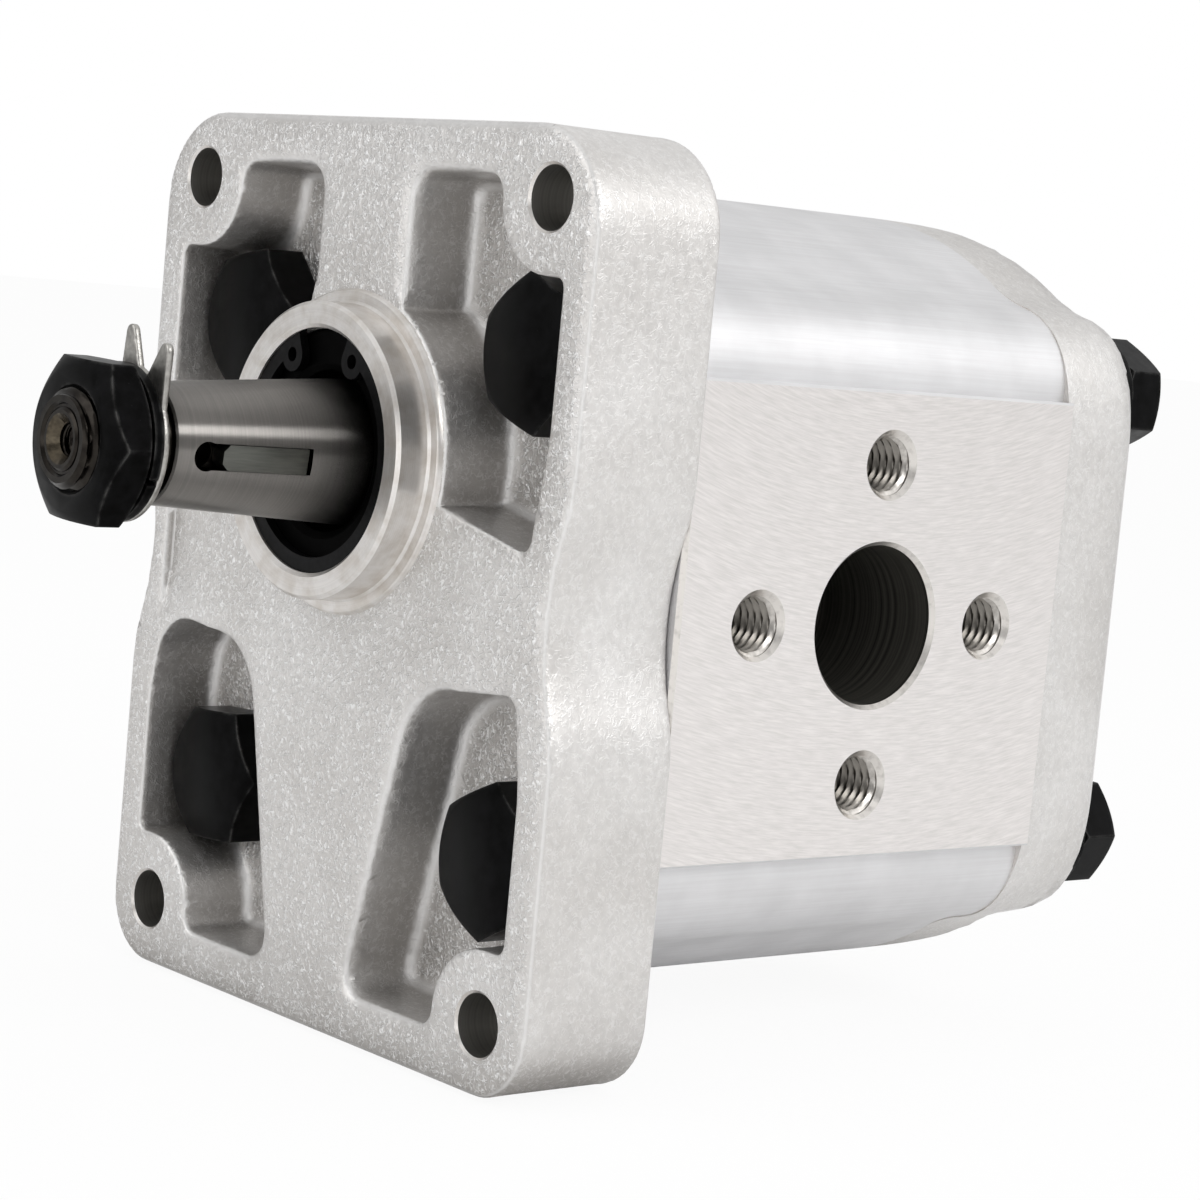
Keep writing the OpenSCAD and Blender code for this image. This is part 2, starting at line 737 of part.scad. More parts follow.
// Radius of the taper at y
function taper_r(y) = journal_r - (taper_y1 - y) / taper_ratio / 2;

// Place on the taper's surface at y, turned to the key's angle, with its X axis pointing out
module on_taper(y) {
    rotate([0, -key_angle, 0]) translate([taper_r(y), y, 0]) rotate([0, 0, -taper_a]) children();
}

module drive_gear_shaft() {
    color("silver") difference() {
        union() {
            slab(gear_y0, gear_y1) gear_outline(-90);
            bar(taper_y1, body_y1 + 2.4, journal_r);
            cone(taper_y0, taper_y1, taper_end_r, journal_r);
            bar(-shaft_reach + 0.8, taper_y0 + cut, thread_r);
            cone(-shaft_reach, -shaft_reach + 0.8, thread_r - 0.8, thread_r);
        }
        on_taper(key_y0) translate([-key_depth, -2, -key_w / 2]) cube([key_depth + 2, key_len + 2.6, key_w]);
        on_taper(key_y0) translate([-key_depth - 0.4, -2, 0]) rotate([0, 90, 0])
            cylinder(h = key_depth + 3, r = key_w / 2 + 0.1, $fn = 48);
        bar(-shaft_reach - cut, -shaft_reach + 11, 2.1);
        cone(-shaft_reach - 0.01, -shaft_reach + 1.2, 3.3, 2.1);
    }
}

module shaft_key() {
    color("gray") on_taper(key_y0) translate([-key_depth, 0, -key_w / 2 + 0.02])
        cube([key_depth + 0.12, key_len, key_w - 0.04]);
}

// Tab washer: a thin ring with two pointed tabs that lock the nut
module tab_washer() {
    color("silver") slab(tab_y0, tab_y1) difference() {
        union() {
            circle(r = washer_r);
            for (a = tab_angles) polygon(rounded([
                concat(polar(tab_root_r, a[0]), 0),
                concat(polar(tab_apex_r, a[1]), tab_tip_r),
                concat(polar(tab_root_r, a[2]), 0)]));
        }
        circle(r = thread_r + 0.15);
    }
}

module spring_washer() {
    color([0.12, 0.12, 0.13]) difference() {
        bar(spring_y0, tab_y0, washer_r);
        bar(spring_y0 - cut, tab_y0 + cut, thread_r + 0.15);
        translate([0, spring_y0 - cut, -0.5]) rotate([0, 25, 0])
            cube([washer_r + 1, spring_washer_t + 2 * cut, 0.8]);
    }
}

module shaft_nut() {
    color([0.12, 0.12, 0.13]) difference() {
        hex_bar(shaft_nut_y0, spring_y0, shaft_nut_af, 1, true, true);
        bar(shaft_nut_y0 - cut, spring_y0 + cut, thread_r + 0.01);
        cone(shaft_nut_y0 - 0.01, shaft_nut_y0 + 0.8, thread_r + 0.8, thread_r);
    }
}

module driven_gear_shaft() {
    color("silver") translate([0, 0, -centre_distance]) {
        slab(gear_y0, gear_y1) gear_outline(90 + 180 / teeth);
        bar(body_y0 - 2.4, body_y1 + 2.4, journal_r);
    }
}

front_flange();
pump_body();
rear_cover();
front_bearing_block();
rear_bearing_block();
front_bearing_liners();
rear_bearing_liners();
shaft_seal();
seal_case();
garter_spring();
seal_circlip();
front_body_seal();
rear_body_seal();
front_pressure_seal();
rear_pressure_seal();
front_backup_ring();
rear_backup_ring();
front_dowels();
rear_dowels();
long_bolts();
rear_washers();
rear_nuts();
drive_gear_shaft();
shaft_key();
tab_washer();
spring_washer();
shaft_nut();
driven_gear_shaft();
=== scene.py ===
import math
from contextlib import contextmanager
import bpy
import bmesh
import numpy as np
import openvdb
from mathutils import Matrix, Vector


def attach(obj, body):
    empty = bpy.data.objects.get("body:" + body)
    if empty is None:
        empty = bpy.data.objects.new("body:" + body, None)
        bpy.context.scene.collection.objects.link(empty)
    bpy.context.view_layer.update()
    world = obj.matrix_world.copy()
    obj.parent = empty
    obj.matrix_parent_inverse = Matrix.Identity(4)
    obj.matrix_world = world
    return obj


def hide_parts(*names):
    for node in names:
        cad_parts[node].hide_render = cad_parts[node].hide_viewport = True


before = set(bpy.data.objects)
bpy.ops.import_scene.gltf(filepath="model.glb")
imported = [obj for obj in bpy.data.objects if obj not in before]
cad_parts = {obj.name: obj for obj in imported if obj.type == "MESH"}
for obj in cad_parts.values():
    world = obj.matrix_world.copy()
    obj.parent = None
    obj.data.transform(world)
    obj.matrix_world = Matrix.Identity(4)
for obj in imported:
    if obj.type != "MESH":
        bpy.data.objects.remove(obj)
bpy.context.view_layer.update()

# Studio. A pump on a pale sweep, lit by soft boxes and by the bright room around it. The room is
# darker to the front left, where its doors are, behind the camera and in a strip at the rear left;
# blacked steel and the floors of the pockets show that.
VIEW_AZIMUTH, VIEW_ELEVATION, VIEW_ROLL = 49.248, 5.653, 5.302
CAMERA_AT = (313.45, -226.36, 22.82)
FOCAL_PIXELS, PHOTO_PIXELS, SENSOR = 3136.6, 1200, 36.0

azimuth, elevation, roll = (math.radians(a) for a in (VIEW_AZIMUTH, VIEW_ELEVATION, VIEW_ROLL))
back = Vector((math.sin(azimuth) * math.cos(elevation), -math.cos(azimuth) * math.cos(elevation),
               math.sin(elevation)))
right = Vector((0, 0, 1)).cross(back).normalized()
up = back.cross(right)
right, up = right * math.cos(roll) + up * math.sin(roll), up * math.cos(roll) - right * math.sin(roll)


def placed(name, data):
    """A new object in the scene."""
    made = bpy.data.objects.new(name, data)
    bpy.context.collection.objects.link(made)
    return made


camera = placed("camera", bpy.data.cameras.new("camera"))
camera.data.sensor_width = SENSOR
camera.data.lens = SENSOR * FOCAL_PIXELS / PHOTO_PIXELS
camera.data.clip_start, camera.data.clip_end = 0.01, 20
camera.matrix_world = (Matrix.Translation(Vector(CAMERA_AT) / 1000)
                       @ Matrix((right, up, back)).transposed().to_4x4())
bpy.context.scene.camera = camera
bpy.context.scene.view_settings.view_transform = "Standard"


def linear(code):
    """An sRGB hex colour as linear red, green, blue and alpha."""
    parts = [int(code[i:i + 2], 16) / 255 for i in (0, 2, 4)]
    return tuple(c / 12.92 if c <= 0.04045 else ((c + 0.055) / 1.055) ** 2.4 for c in parts) + (1.0,)


def feed(tree, node, inputs):
    """Links each input of a node that is given a socket, and sets each that is given a value."""
    for name, given in inputs.items():
        if isinstance(given, bpy.types.NodeSocket):
            tree.links.new(given, node.inputs[name])
        else:
            node.inputs[name].default_value = given


def add(tree, kind, inputs=None, **settings):
    """Adds a node with its inputs and its settings."""
    made = tree.nodes.new(kind)
    for name, value in settings.items():
        setattr(made, name, value)
    feed(tree, made, inputs or {})
    return made


def ramp(tree, source, *stops):
    """The colour that a ramp over source gives, from (place, grey or hex colour) stops."""
    made = add(tree, "ShaderNodeValToRGB", {0: source})
    while len(made.color_ramp.elements) < len(stops):
        made.color_ramp.elements.new(0.5)
    for element, (place, value) in zip(made.color_ramp.elements, stops):
        element.position = place
        element.color = linear(value) if isinstance(value, str) else (value, value, value, 1)
    return made.outputs[0]


def calc(tree, operation, *inputs):
    """The result of a maths node."""
    return add(tree, "ShaderNodeMath", dict(enumerate(inputs)), operation=operation).outputs[0]


def multiplied(tree, lower, upper):
    """Two colours multiplied."""
    inputs = {0: 1.0, 6: lower, 7: upper}
    return add(tree, "ShaderNodeMix", inputs, data_type="RGBA", blend_type="MULTIPLY").outputs[2]


world = bpy.data.worlds.new("studio")
bpy.context.scene.world = world
world.use_nodes = True
tree = world.node_tree
tree.nodes.clear()
toward = add(tree, "ShaderNodeTexCoord")
room = None
for dark_side, stops in (
        ((-0.81, -0.58, -0.08), ((0.0, 1.0), (0.60, 0.98), (0.75, 0.88), (0.92, 0.55), (1.0, 0.45))),
        ((0.70, -0.66, -0.25), ((0.0, 1.0), (0.58, 0.96), (0.72, 0.62), (0.85, 0.35), (1.0, 0.30))),
        ((-0.48, 0.87, -0.10), ((0.0, 1.0), (0.90, 1.0), (0.965, 0.40), (1.0, 0.30)))):
    facing = add(tree, "ShaderNodeVectorMath", {0: toward.outputs["Generated"], 1: dark_side},
                 operation="DOT_PRODUCT")
    spread = add(tree, "ShaderNodeMapRange",
                 {"Value": facing.outputs["Value"], "From Min": -1.0, "From Max": 1.0})
    shade = ramp(tree, spread.outputs[0], *stops)
    room = shade if room is None else multiplied(tree, room, shade)
seen = add(tree, "ShaderNodeLightPath")
room_light = add(tree, "ShaderNodeBackground", {"Strength": 0.88, "Color": room})
white = add(tree, "ShaderNodeBackground", {"Color": (1, 1, 1, 1), "Strength": 1.0})
shown = calc(tree, "MAXIMUM", seen.outputs["Is Camera Ray"], seen.outputs["Is Transmission Ray"])
mixed = add(tree, "ShaderNodeMixShader", {0: shown, 1: room_light.outputs[0], 2: white.outputs[0]})
add(tree, "ShaderNodeOutputWorld", {"Surface": mixed.outputs[0]})


def soft_box(name, at, aim, width, height, power):
    """A soft box that shines from one place at another, in metres and watts."""
    lamp = bpy.data.lights.new(name, "AREA")
    lamp.shape, lamp.size, lamp.size_y, lamp.energy = "RECTANGLE", width, height, power
    box = placed(name, lamp)
    turn = (Vector(aim) - Vector(at)).to_track_quat("-Z", "Y").to_matrix().to_4x4()
    box.matrix_world = Matrix.Translation(at) @ turn


soft_box("rear_light", (0.58, 0.66, 0.56), (0, 0.05, -0.01), 0.6, 0.6, 0.6)
soft_box("side_light", (0.86, 0.06, 0.49), (0, -0.02, 0), 0.8, 0.26, 3.3)
soft_box("edge_light", (0.58, -0.80, 0.04), (0, 0, -0.01), 0.35, 0.6, 0.9)
soft_box("fill_light", (-0.25, -0.85, 0.35), (0, 0, -0.02), 0.7, 0.7, 2.2)

FLOOR_Z, FLOOR_HALF, PAPER_GLOW = -0.0724, 6, 0.93
floor_mesh = bpy.data.meshes.new("floor")
ends = [(sx * FLOOR_HALF, sy * FLOOR_HALF, FLOOR_Z) for sx, sy in ((-1, -1), (1, -1), (1, 1), (-1, 1))]
floor_mesh.from_pydata(ends, [], [(0, 1, 2, 3)])
floor = placed("floor", floor_mesh)
paper = bpy.data.materials.new("white_paper_sweep")
paper.use_nodes = True
tree = paper.node_tree
tree.nodes.clear()
lit = add(tree, "ShaderNodeBsdfDiffuse", {"Color": (0.93, 0.93, 0.93, 1)})
bright = add(tree, "ShaderNodeEmission", {"Color": (1, 1, 1, 1), "Strength": 1.0})
seen = add(tree, "ShaderNodeLightPath")
share = calc(tree, "MULTIPLY", seen.outputs["Is Camera Ray"], PAPER_GLOW)
mixed = add(tree, "ShaderNodeMixShader", {0: share, 1: lit.outputs[0], 2: bright.outputs[0]})
add(tree, "ShaderNodeOutputMaterial", {"Surface": mixed.outputs[0]})
floor_mesh.materials.append(paper)

# Front flange. A gravity die casting in aluminium: a thick plate with four pockets for the long
# bolts' heads, so its walls stay even. The die leaves soft edges and a grainy skin; the pilot, the
# seal's bore, the foot ring and the mounting holes are then turned and drilled bright.
MM = 0.001
MIDDLE_Z, CENTRE_DISTANCE = -15.5, 31.0
FLANGE_T, FLANGE_X, FLANGE_H, CORNER_R, TOP_CORNER_R = 19.0, 44.5, 113.0, 9.0, 12.0
WAIST_D, WAIST_R, WAIST_BLEND_R = 2.8, 33.0, 20.0
MOUNT_X, MOUNT_Z, MOUNT_HOLE_R, MOUNT_BOSS_R = 35.75, 48.0, 3.8, 8.9
POCKET_DEPTH, POCKET_X, POCKET_RIM, RIB_HALF, LAND_R = 10.0, 39.3, 6.2, 9.5, 20.5
PILOT_R, PILOT_H, RING_R, RING_H, SEAL_BORE_R = 18.25, 5.2, 19.95, 0.6, 15.0
PILOT_CHAMFER, RING_EDGE, FOOT_FILLET, MOUNT_CHAMFER = 0.45, 0.25, 0.3, 0.3
GROOVE_Y0, GROOVE_Y1, GROOVE_DEPTH, SEAL_SEAT_Y = -4.4, -3.2, 0.7, 3.9
CORE_R, ROOT_Y, SHAFT_HOLE_R, BOLT_HOLE_R, BOLT_X, BOLT_Z = 2, 3, 10.5, 5.25, 29.6, 30.15
CAST_SPACING, SOFT_EDGE, CRISP_EDGE, OUTER_EDGE, FLOOR_FILLET, DRAFT = 0.34, 1.5, 0.35, 0.8, 2.2, 0.035
RIGHT_TURN_R, LEFT_TURN_R, RECESS_X0, RECESS_X1, RECESS_SLOPE = 2.2, 7.0, -38.3, -27.0, 0.12
RECESS_Z0, RECESS_Z1, RECESS_FADE = -19.0, -12.0, 0.18
CRISP_X, CRISP_RUN, RING_ZONE_R, RING_RUN, GRID_MARGIN = 21.0, 6.0, 23.0, 2.0, 1.5
BOSS_LOW_Z, RIM_BEND_Z, SHELF_Z = 23.6, 4.7, -3.7


def polar(radius, degrees):
    """A point at a radius and an angle."""
    return np.array((radius * math.cos(math.radians(degrees)), radius * math.sin(math.radians(degrees))))


def arc(centre, radius, start, end, steps=10):
    """Points on an arc from one angle to another, in degrees."""
    return [np.array(centre) + polar(radius, start + (end - start) * i / steps) for i in range(steps + 1)]


def rounded(corners, steps=8):
    """A closed outline of (x, z, radius) corners with every corner rounded."""
    points = []
    for i, (x, z, radius) in enumerate(corners):
        here = np.array((x, z), float)
        before = np.array(corners[i - 1][:2]) - here
        after = np.array(corners[(i + 1) % len(corners)][:2]) - here
        before, after = before / np.hypot(*before), after / np.hypot(*after)
        half = math.acos(max(-1.0, min(1.0, float(before @ after)))) / 2
        middle = (before + after) / np.hypot(*(before + after))
        centre = here + middle * radius / math.sin(half)
        reach = radius / math.tan(half)
        start, end = (here + side * reach - centre for side in (before, after))
        first = math.degrees(math.atan2(start[1], start[0]))
        turn = (math.degrees(math.atan2(end[1], end[0])) - first + 180) % 360 - 180
        points += arc(centre, radius, first, first + turn, steps)
    return points


def distance_to(outline, x, z):
    """Signed distance from each place to a closed outline, negative inside."""
    points = np.array(outline)
    nearest = np.full(x.shape, 1e9)
    inside = np.zeros(x.shape, bool)
    for (ax, az), (bx, bz) in zip(points, np.roll(points, -1, 0)):
        ux, uz = bx - ax, bz - az
        length = ux * ux + uz * uz
        if length < 1e-12:
            continue
        along = np.clip(((x - ax) * ux + (z - az) * uz) / length, 0, 1)
        nearest = np.minimum(nearest, (x - ax - along * ux) ** 2 + (z - az - along * uz) ** 2)
        if az != bz:
            crosses = ((az > z) != (bz > z)) & (x < ux * (z - az) / (bz - az) + ax)
            inside ^= crosses
    return np.where(inside, -np.sqrt(nearest), np.sqrt(nearest))


def both(a, b, radius):
    """What two solids share, with the edge between them rounded."""
    edge = np.hypot(np.maximum(a + radius, 0), np.maximum(b + radius, 0))
    return np.minimum(-radius, np.maximum(a, b)) + edge


def grid(low, high, spacing):
    """Axes and open grids of places from low to high, in millimetres."""
    axes = [np.arange(a, b + spacing, spacing) for a, b in zip(low, high)]
    return np.meshgrid(*axes, indexing="ij", sparse=True)


def seen_along_y(x, z):
    """The X and the Z of every row of a grid's places along Y."""
    return np.broadcast_arrays(x[:, 0, :], z[:, 0, :])


def skin(name, field, low, spacing, flatten=0.12):
    """The closed surface where a field of distances is zero, as an object in metres."""
    volume = openvdb.FloatGrid(float(3 * spacing))
    volume.copyFromArray(np.ascontiguousarray(np.clip(field, -3 * spacing, 3 * spacing), np.float32))
    points, triangles, quads = volume.convertToPolygons(isovalue=0.0, adaptivity=flatten)
    points = (points * spacing + np.array(low)) * MM
    faces = [tuple(int(i) for i in f) for f in triangles] + [tuple(int(i) for i in f) for f in quads]
    return solid(name, points, faces)


@contextmanager
def opened(mesh):
    """A mesh opened for editing, then written back."""
    work = bmesh.new()
    work.from_mesh(mesh)
    yield work
    work.to_mesh(mesh)
    work.free()


def solid(name, points, faces):
    """A mesh object from points in metres, its doubles merged and its faces turned outwards."""
    mesh = bpy.data.meshes.new(name)
    mesh.from_pydata([tuple(map(float, p)) for p in points], [], faces)
    with opened(mesh) as work:
        bmesh.ops.remove_doubles(work, verts=work.verts, dist=1e-7)
        bmesh.ops.dissolve_degenerate(work, edges=work.edges, dist=1e-7)
        bmesh.ops.recalc_face_normals(work, faces=work.faces)
    return placed(name, mesh)


def turned(name, profile, x=0.0, z=0.0, steps=96, axis="y", bend=None):
    """A closed turned solid about an axis along Y (or X), from (radius, along) points in millimetres."""
    points, faces = [], []
    angles = [2 * math.pi * i / steps for i in range(steps)]
    for radius, along in profile:
        for angle in angles:
            r = radius if bend is None else bend(radius, along, angle)
            place = (r * math.cos(angle) + x, along, r * math.sin(angle) + z)
            points.append(place if axis == "y" else (along, r * math.cos(angle) + x, r * math.sin(angle) + z))
    rows = len(profile)
    for row in range(rows - 1):
        for i in range(steps):
            j = (i + 1) % steps
            faces.append((row * steps + i, row * steps + j, (row + 1) * steps + j, (row + 1) * steps + i))
    faces.append(tuple(range(steps)))
    faces.append(tuple(range((rows - 1) * steps, rows * steps)))
    return solid(name, np.array(points) * MM, faces)


def between_ends(count):
    """The faces of a prism whose ends have count corners each."""
    ends = [tuple(range(count)), tuple(range(count, 2 * count))]
    return ends + [(i, (i + 1) % count, (i + 1) % count + count, i + count) for i in range(count)]


def prism(name, outline, y0, y1):
    """An outline in X and Z drawn out along Y, in millimetres."""
    points = [(p[0], y, p[1]) for y in (y0, y1) for p in outline]
    return solid(name, np.array(points) * MM, between_ends(len(outline)))


def settle(piece):
    """Applies a piece's modifiers to a plain mesh."""
    shape = bpy.data.meshes.new_from_object(piece.evaluated_get(bpy.context.evaluated_depsgraph_get()))
    piece.modifiers.clear()
    piece.data = shape
    return piece


def carve(piece, tools, operation="DIFFERENCE"):
    """Cuts tools out of a piece, or joins them to it, and throws the tools away."""
    for tool in tools:
        cut = piece.modifiers.new("cut", "BOOLEAN")
        cut.operation, cut.object, cut.solver = operation, tool, "MANIFOLD"
        settle(piece)
        bpy.data.objects.remove(tool)
    return piece


def dress(piece, materials, choose=None, crease=35.0, cast=False):
    """Gives each face its material and shades it smooth up to the hard edges.

    choose picks a material's number from a face's centre in millimetres and its normal. Edges
    sharper than crease degrees are hard; between two faces of cast skin none is.
    """
    mesh = piece.data
    mesh.materials.clear()
    for material in materials:
        mesh.materials.append(material)
    with opened(mesh) as work:
        for face in work.faces:
            face.smooth = True
            face.material_index = choose(face.calc_center_median() / MM, face.normal) if choose else 0
        for edge in work.edges:
            hard = len(edge.link_faces) != 2 or edge.calc_face_angle(0.0) > math.radians(crease)
            soft = cast and all(f.material_index == 0 for f in edge.link_faces)
            edge.smooth = soft or not hard


def mirrored(points):
    """Points mirrored to the left, in the other order."""
    return [np.array((-p[0], p[1])) for p in reversed(points)]


waist_h = math.sqrt(2 * WAIST_D * (WAIST_R + WAIST_BLEND_R) - WAIST_D ** 2)
waist_a = math.degrees(math.atan2(waist_h, WAIST_R + WAIST_BLEND_R - WAIST_D))
half_h = FLANGE_H / 2
flange_side = (arc((FLANGE_X - CORNER_R, MIDDLE_Z - half_h + CORNER_R), CORNER_R, -90, 0, 14)
               + arc((FLANGE_X - WAIST_BLEND_R, MIDDLE_Z - waist_h), WAIST_BLEND_R, 0, waist_a)
               + arc((FLANGE_X - WAIST_D + WAIST_R, MIDDLE_Z), WAIST_R, 180 + waist_a, 180 - waist_a)
               + arc((FLANGE_X - WAIST_BLEND_R, MIDDLE_Z + waist_h), WAIST_BLEND_R, -waist_a, 0)
               + arc((FLANGE_X - TOP_CORNER_R, MIDDLE_Z + half_h - TOP_CORNER_R), TOP_CORNER_R, 0, 90, 18))
boss_x = MOUNT_X - MOUNT_BOSS_R
upper_top, lower_bottom = MIDDLE_Z + half_h - POCKET_RIM, MIDDLE_Z - half_h + POCKET_RIM
lower_boss_z = MIDDLE_Z - MOUNT_Z + MOUNT_BOSS_R
upper_pocket = rounded((
    (RIB_HALF, upper_top, 3.4), (boss_x, upper_top, 2.6), (boss_x, BOSS_LOW_Z, MOUNT_BOSS_R),
    (POCKET_X, BOSS_LOW_Z, 1.4), (POCKET_X, RIM_BEND_Z, 20), (37.3, -8.3, 1.6),
    (16.5, SHELF_Z, 0.5), (RIB_HALF, SHELF_Z, 0.5)))
lower_pocket, left_pocket = (
    rounded(((37.4, -24.6, turn_r), (17.6, -26.5, 10), (8.4, lower_bottom, 3.2), (boss_x, lower_bottom, 2.2),
             (boss_x, lower_boss_z, MOUNT_BOSS_R), (POCKET_X, lower_boss_z, 1.4), (POCKET_X, -36, 20)))
    for turn_r in (RIGHT_TURN_R, LEFT_TURN_R))

low = (-FLANGE_X - GRID_MARGIN, -GRID_MARGIN, MIDDLE_Z - half_h - GRID_MARGIN)
high = (FLANGE_X + GRID_MARGIN, FLANGE_T + GRID_MARGIN, MIDDLE_Z + half_h + GRID_MARGIN)
x, y, z = grid(low, high, CAST_SPACING)
across, upward = seen_along_y(x, z)
edge_of_plate = distance_to(flange_side + mirrored(flange_side), across, upward)[:, None, :]
plate = both(edge_of_plate, np.abs(y - FLANGE_T / 2) - FLANGE_T / 2, OUTER_EDGE)
sideways = np.abs(across)
from_land = LAND_R - np.hypot(across, upward)
upper = np.maximum(distance_to(upper_pocket, sideways, upward), from_land)
lower = np.where(across > 0, distance_to(lower_pocket, sideways, upward),
                 distance_to(left_pocket, sideways, upward))
pockets = np.minimum(upper, lower)[:, None, :]
hollow = both(pockets + DRAFT * y, y - POCKET_DEPTH, FLOOR_FILLET)
faded = RECESS_FADE * (np.maximum(0, RECESS_Z0 - z) + np.maximum(0, z - RECESS_Z1))
channel = np.maximum(y + RECESS_SLOPE * (x - RECESS_X1) + faded, RECESS_X0 - x)
hollow = np.minimum(hollow, channel)
outward = np.clip((sideways - CRISP_X) / CRISP_RUN, 0, 1)
near_ring = np.clip((RING_ZONE_R - np.hypot(across, upward)) / RING_RUN, 0, 1)
softness = (SOFT_EDGE + (CRISP_EDGE - SOFT_EDGE) * np.maximum(outward, near_ring))[:, None, :]
flange = skin("flange_casting", both(plate, -hollow, softness), low, CAST_SPACING)

hole_places = [(sx * MOUNT_X, MIDDLE_Z + sz * MOUNT_Z) for sx in (-1, 1) for sz in (-1, 1)]
bolt_places = [(sx * BOLT_X, MIDDLE_Z + sz * BOLT_Z) for sx in (-1, 1) for sz in (-1, 1)]
carve(flange, [turned("pilot", (
    (CORE_R, ROOT_Y), (RING_R + FOOT_FILLET, ROOT_Y), (RING_R + FOOT_FILLET, 0.4),
    (RING_R, -RING_H + RING_EDGE), (RING_R - RING_EDGE, -RING_H), (PILOT_R + FOOT_FILLET, -RING_H),
    (PILOT_R, -RING_H - FOOT_FILLET),
    (PILOT_R, -PILOT_H + PILOT_CHAMFER), (PILOT_R - PILOT_CHAMFER, -PILOT_H), (CORE_R, -PILOT_H)),
    steps=160)], "UNION")
carve(flange, [turned("seal_bore", (
    (SEAL_BORE_R + 2, -PILOT_H - 1.5), (SEAL_BORE_R + 0.5, -PILOT_H), (SEAL_BORE_R, -PILOT_H + 0.5),
    (SEAL_BORE_R, GROOVE_Y0), (SEAL_BORE_R + GROOVE_DEPTH, GROOVE_Y0), (SEAL_BORE_R + GROOVE_DEPTH, GROOVE_Y1),
    (SEAL_BORE_R, GROOVE_Y1), (SEAL_BORE_R, SEAL_SEAT_Y), (SHAFT_HOLE_R, SEAL_SEAT_Y),
    (SHAFT_HOLE_R, FLANGE_T + 1)), steps=160)])
hole = ((MOUNT_HOLE_R + MOUNT_CHAMFER + 1, -1.0), (MOUNT_HOLE_R + MOUNT_CHAMFER, 0.0),
        (MOUNT_HOLE_R, MOUNT_CHAMFER), (MOUNT_HOLE_R, FLANGE_T - 0.5), (MOUNT_HOLE_R + 1.5, FLANGE_T + 1))
carve(flange, [turned("mounting_hole", hole, *place, steps=64) for place in hole_places])


def bored(piece, name, radius, y0, y1, places, steps=48):
    """Bores a plain hole along Y at each place."""
    carve(piece, [turned(name, ((radius, y0), (radius, y1)), *place, steps=steps) for place in places])


bored(flange, "bolt_hole", BOLT_HOLE_R, 9, FLANGE_T + 1, bolt_places)


def textured(name):
    """A new material with its node tree, shader and object coordinates in millimetres."""
    material = bpy.data.materials.new(name)
    material.use_nodes = True
    tree = material.node_tree
    tree.nodes.clear()
    shader = add(tree, "ShaderNodeBsdfPrincipled")
    add(tree, "ShaderNodeOutputMaterial", {"Surface": shader.outputs[0]})
    place = add(tree, "ShaderNodeTexCoord")
    inputs = {0: place.outputs["Object"], "Scale": 1 / MM}
    scaled = add(tree, "ShaderNodeVectorMath", inputs, operation="SCALE")
    return material, tree, shader, scaled.outputs[0]


def noise(tree, place, scale, detail, **more):
    """A noise between 0 and 1, its scale in grains per millimetre."""
    inputs = {"Vector": place, "Scale": scale, "Detail": detail, **more}
    return add(tree, "ShaderNodeTexNoise", inputs).outputs["Fac"]


def swing(tree, source, low, high, start=0.3, end=0.7):
    """A value that goes from low to high while its source goes from start to end."""
    inputs = {"Value": source, "From Min": start, "From Max": end, "To Min": low, "To Max": high}
    return add(tree, "ShaderNodeMapRange", inputs).outputs[0]


def mixed_in(tree, share, colour, code):
    """A colour with a share of another one, given in hex."""
    return add(tree, "ShaderNodeMix", {0: share, 6: colour, 7: linear(code)}, data_type="RGBA").outputs[2]


def relief_of(tree, height, depth, strength):
    """The normal of a surface with this relief, its depth in millimetres."""
    inputs = {"Height": height, "Distance": depth * MM, "Strength": strength}
    return add(tree, "ShaderNodeBump", inputs).outputs[0]


def split(tree, of):
    """The three parts of a vector."""
    return add(tree, "ShaderNodeSeparateXYZ", {0: of}).outputs[:3]


def vector(tree, *parts):
    """A vector from one to three parts."""
    return add(tree, "ShaderNodeCombineXYZ", dict(enumerate(parts))).outputs[0]


def length(tree, of):
    """The length of a vector."""
    return add(tree, "ShaderNodeVectorMath", {0: of}, operation="LENGTH").outputs["Value"]


def about_shaft(tree, place):
    """A place's distance from the shaft's axis and its place along it, for rings and the lathe tool's marks."""
    across, along, upward = split(tree, place)
    return vector(tree, length(tree, vector(tree, across, upward)), along)


def openness(tree, reach):
    """How open the surroundings are within reach millimetres, from 0 in a closed corner to 1."""
    return add(tree, "ShaderNodeAmbientOcclusion", {"Distance": reach * MM}, samples=4).outputs["AO"]


# Die-cast aluminium, shot blasted: the grain is 0.5 to 1 mm across. The short bright threads in which it
# catches the light are painted highlights in its colour, stronger on the face that the shot hit squarely than
# on the sides, as is its relief.
cast_alloy, tree, shader, place = textured("blasted_cast_aluminium")
grain = noise(tree, place, 1.4, 1.0, Roughness=0.5, Distortion=0.8)
dents = noise(tree, place, 0.95, 2.0)
curls = ramp(tree, grain, (0.42, 0.0), (0.49, 1.0), (0.51, 1.0), (0.58, 0.0))
breaks = ramp(tree, noise(tree, place, 1.1, 1.0), (0.36, 0.15), (0.58, 1.0))
threads = calc(tree, "MULTIPLY", curls, breaks)
facing = split(tree, add(tree, "ShaderNodeNewGeometry").outputs["Normal"])
frontal = calc(tree, "ABSOLUTE", facing[1])
relief = swing(tree, frontal, 0.28, 0.85, 0.90, 0.99)
# Painted highlights: the grain's bright threads, whitened into the colour.
painted_glints = calc(tree, "MULTIPLY", threads, relief)
tone = ramp(tree, dents, (0.30, "dbd9d7"), (0.70, "e5e3e1"))
stain = ramp(tree, noise(tree, place, 0.06, 3.0), (0.35, "f1f0ef"), (0.65, "ffffff"))
# Painted shade: the colour darkens where the surroundings close in, in the pockets and corners.
painted_hollow_shade = ramp(tree, openness(tree, 14), (0.35, "c8c6c4"), (0.85, "ffffff"))
skin_with_painted_shade = multiplied(tree, multiplied(tree, tone, stain), painted_hollow_shade)
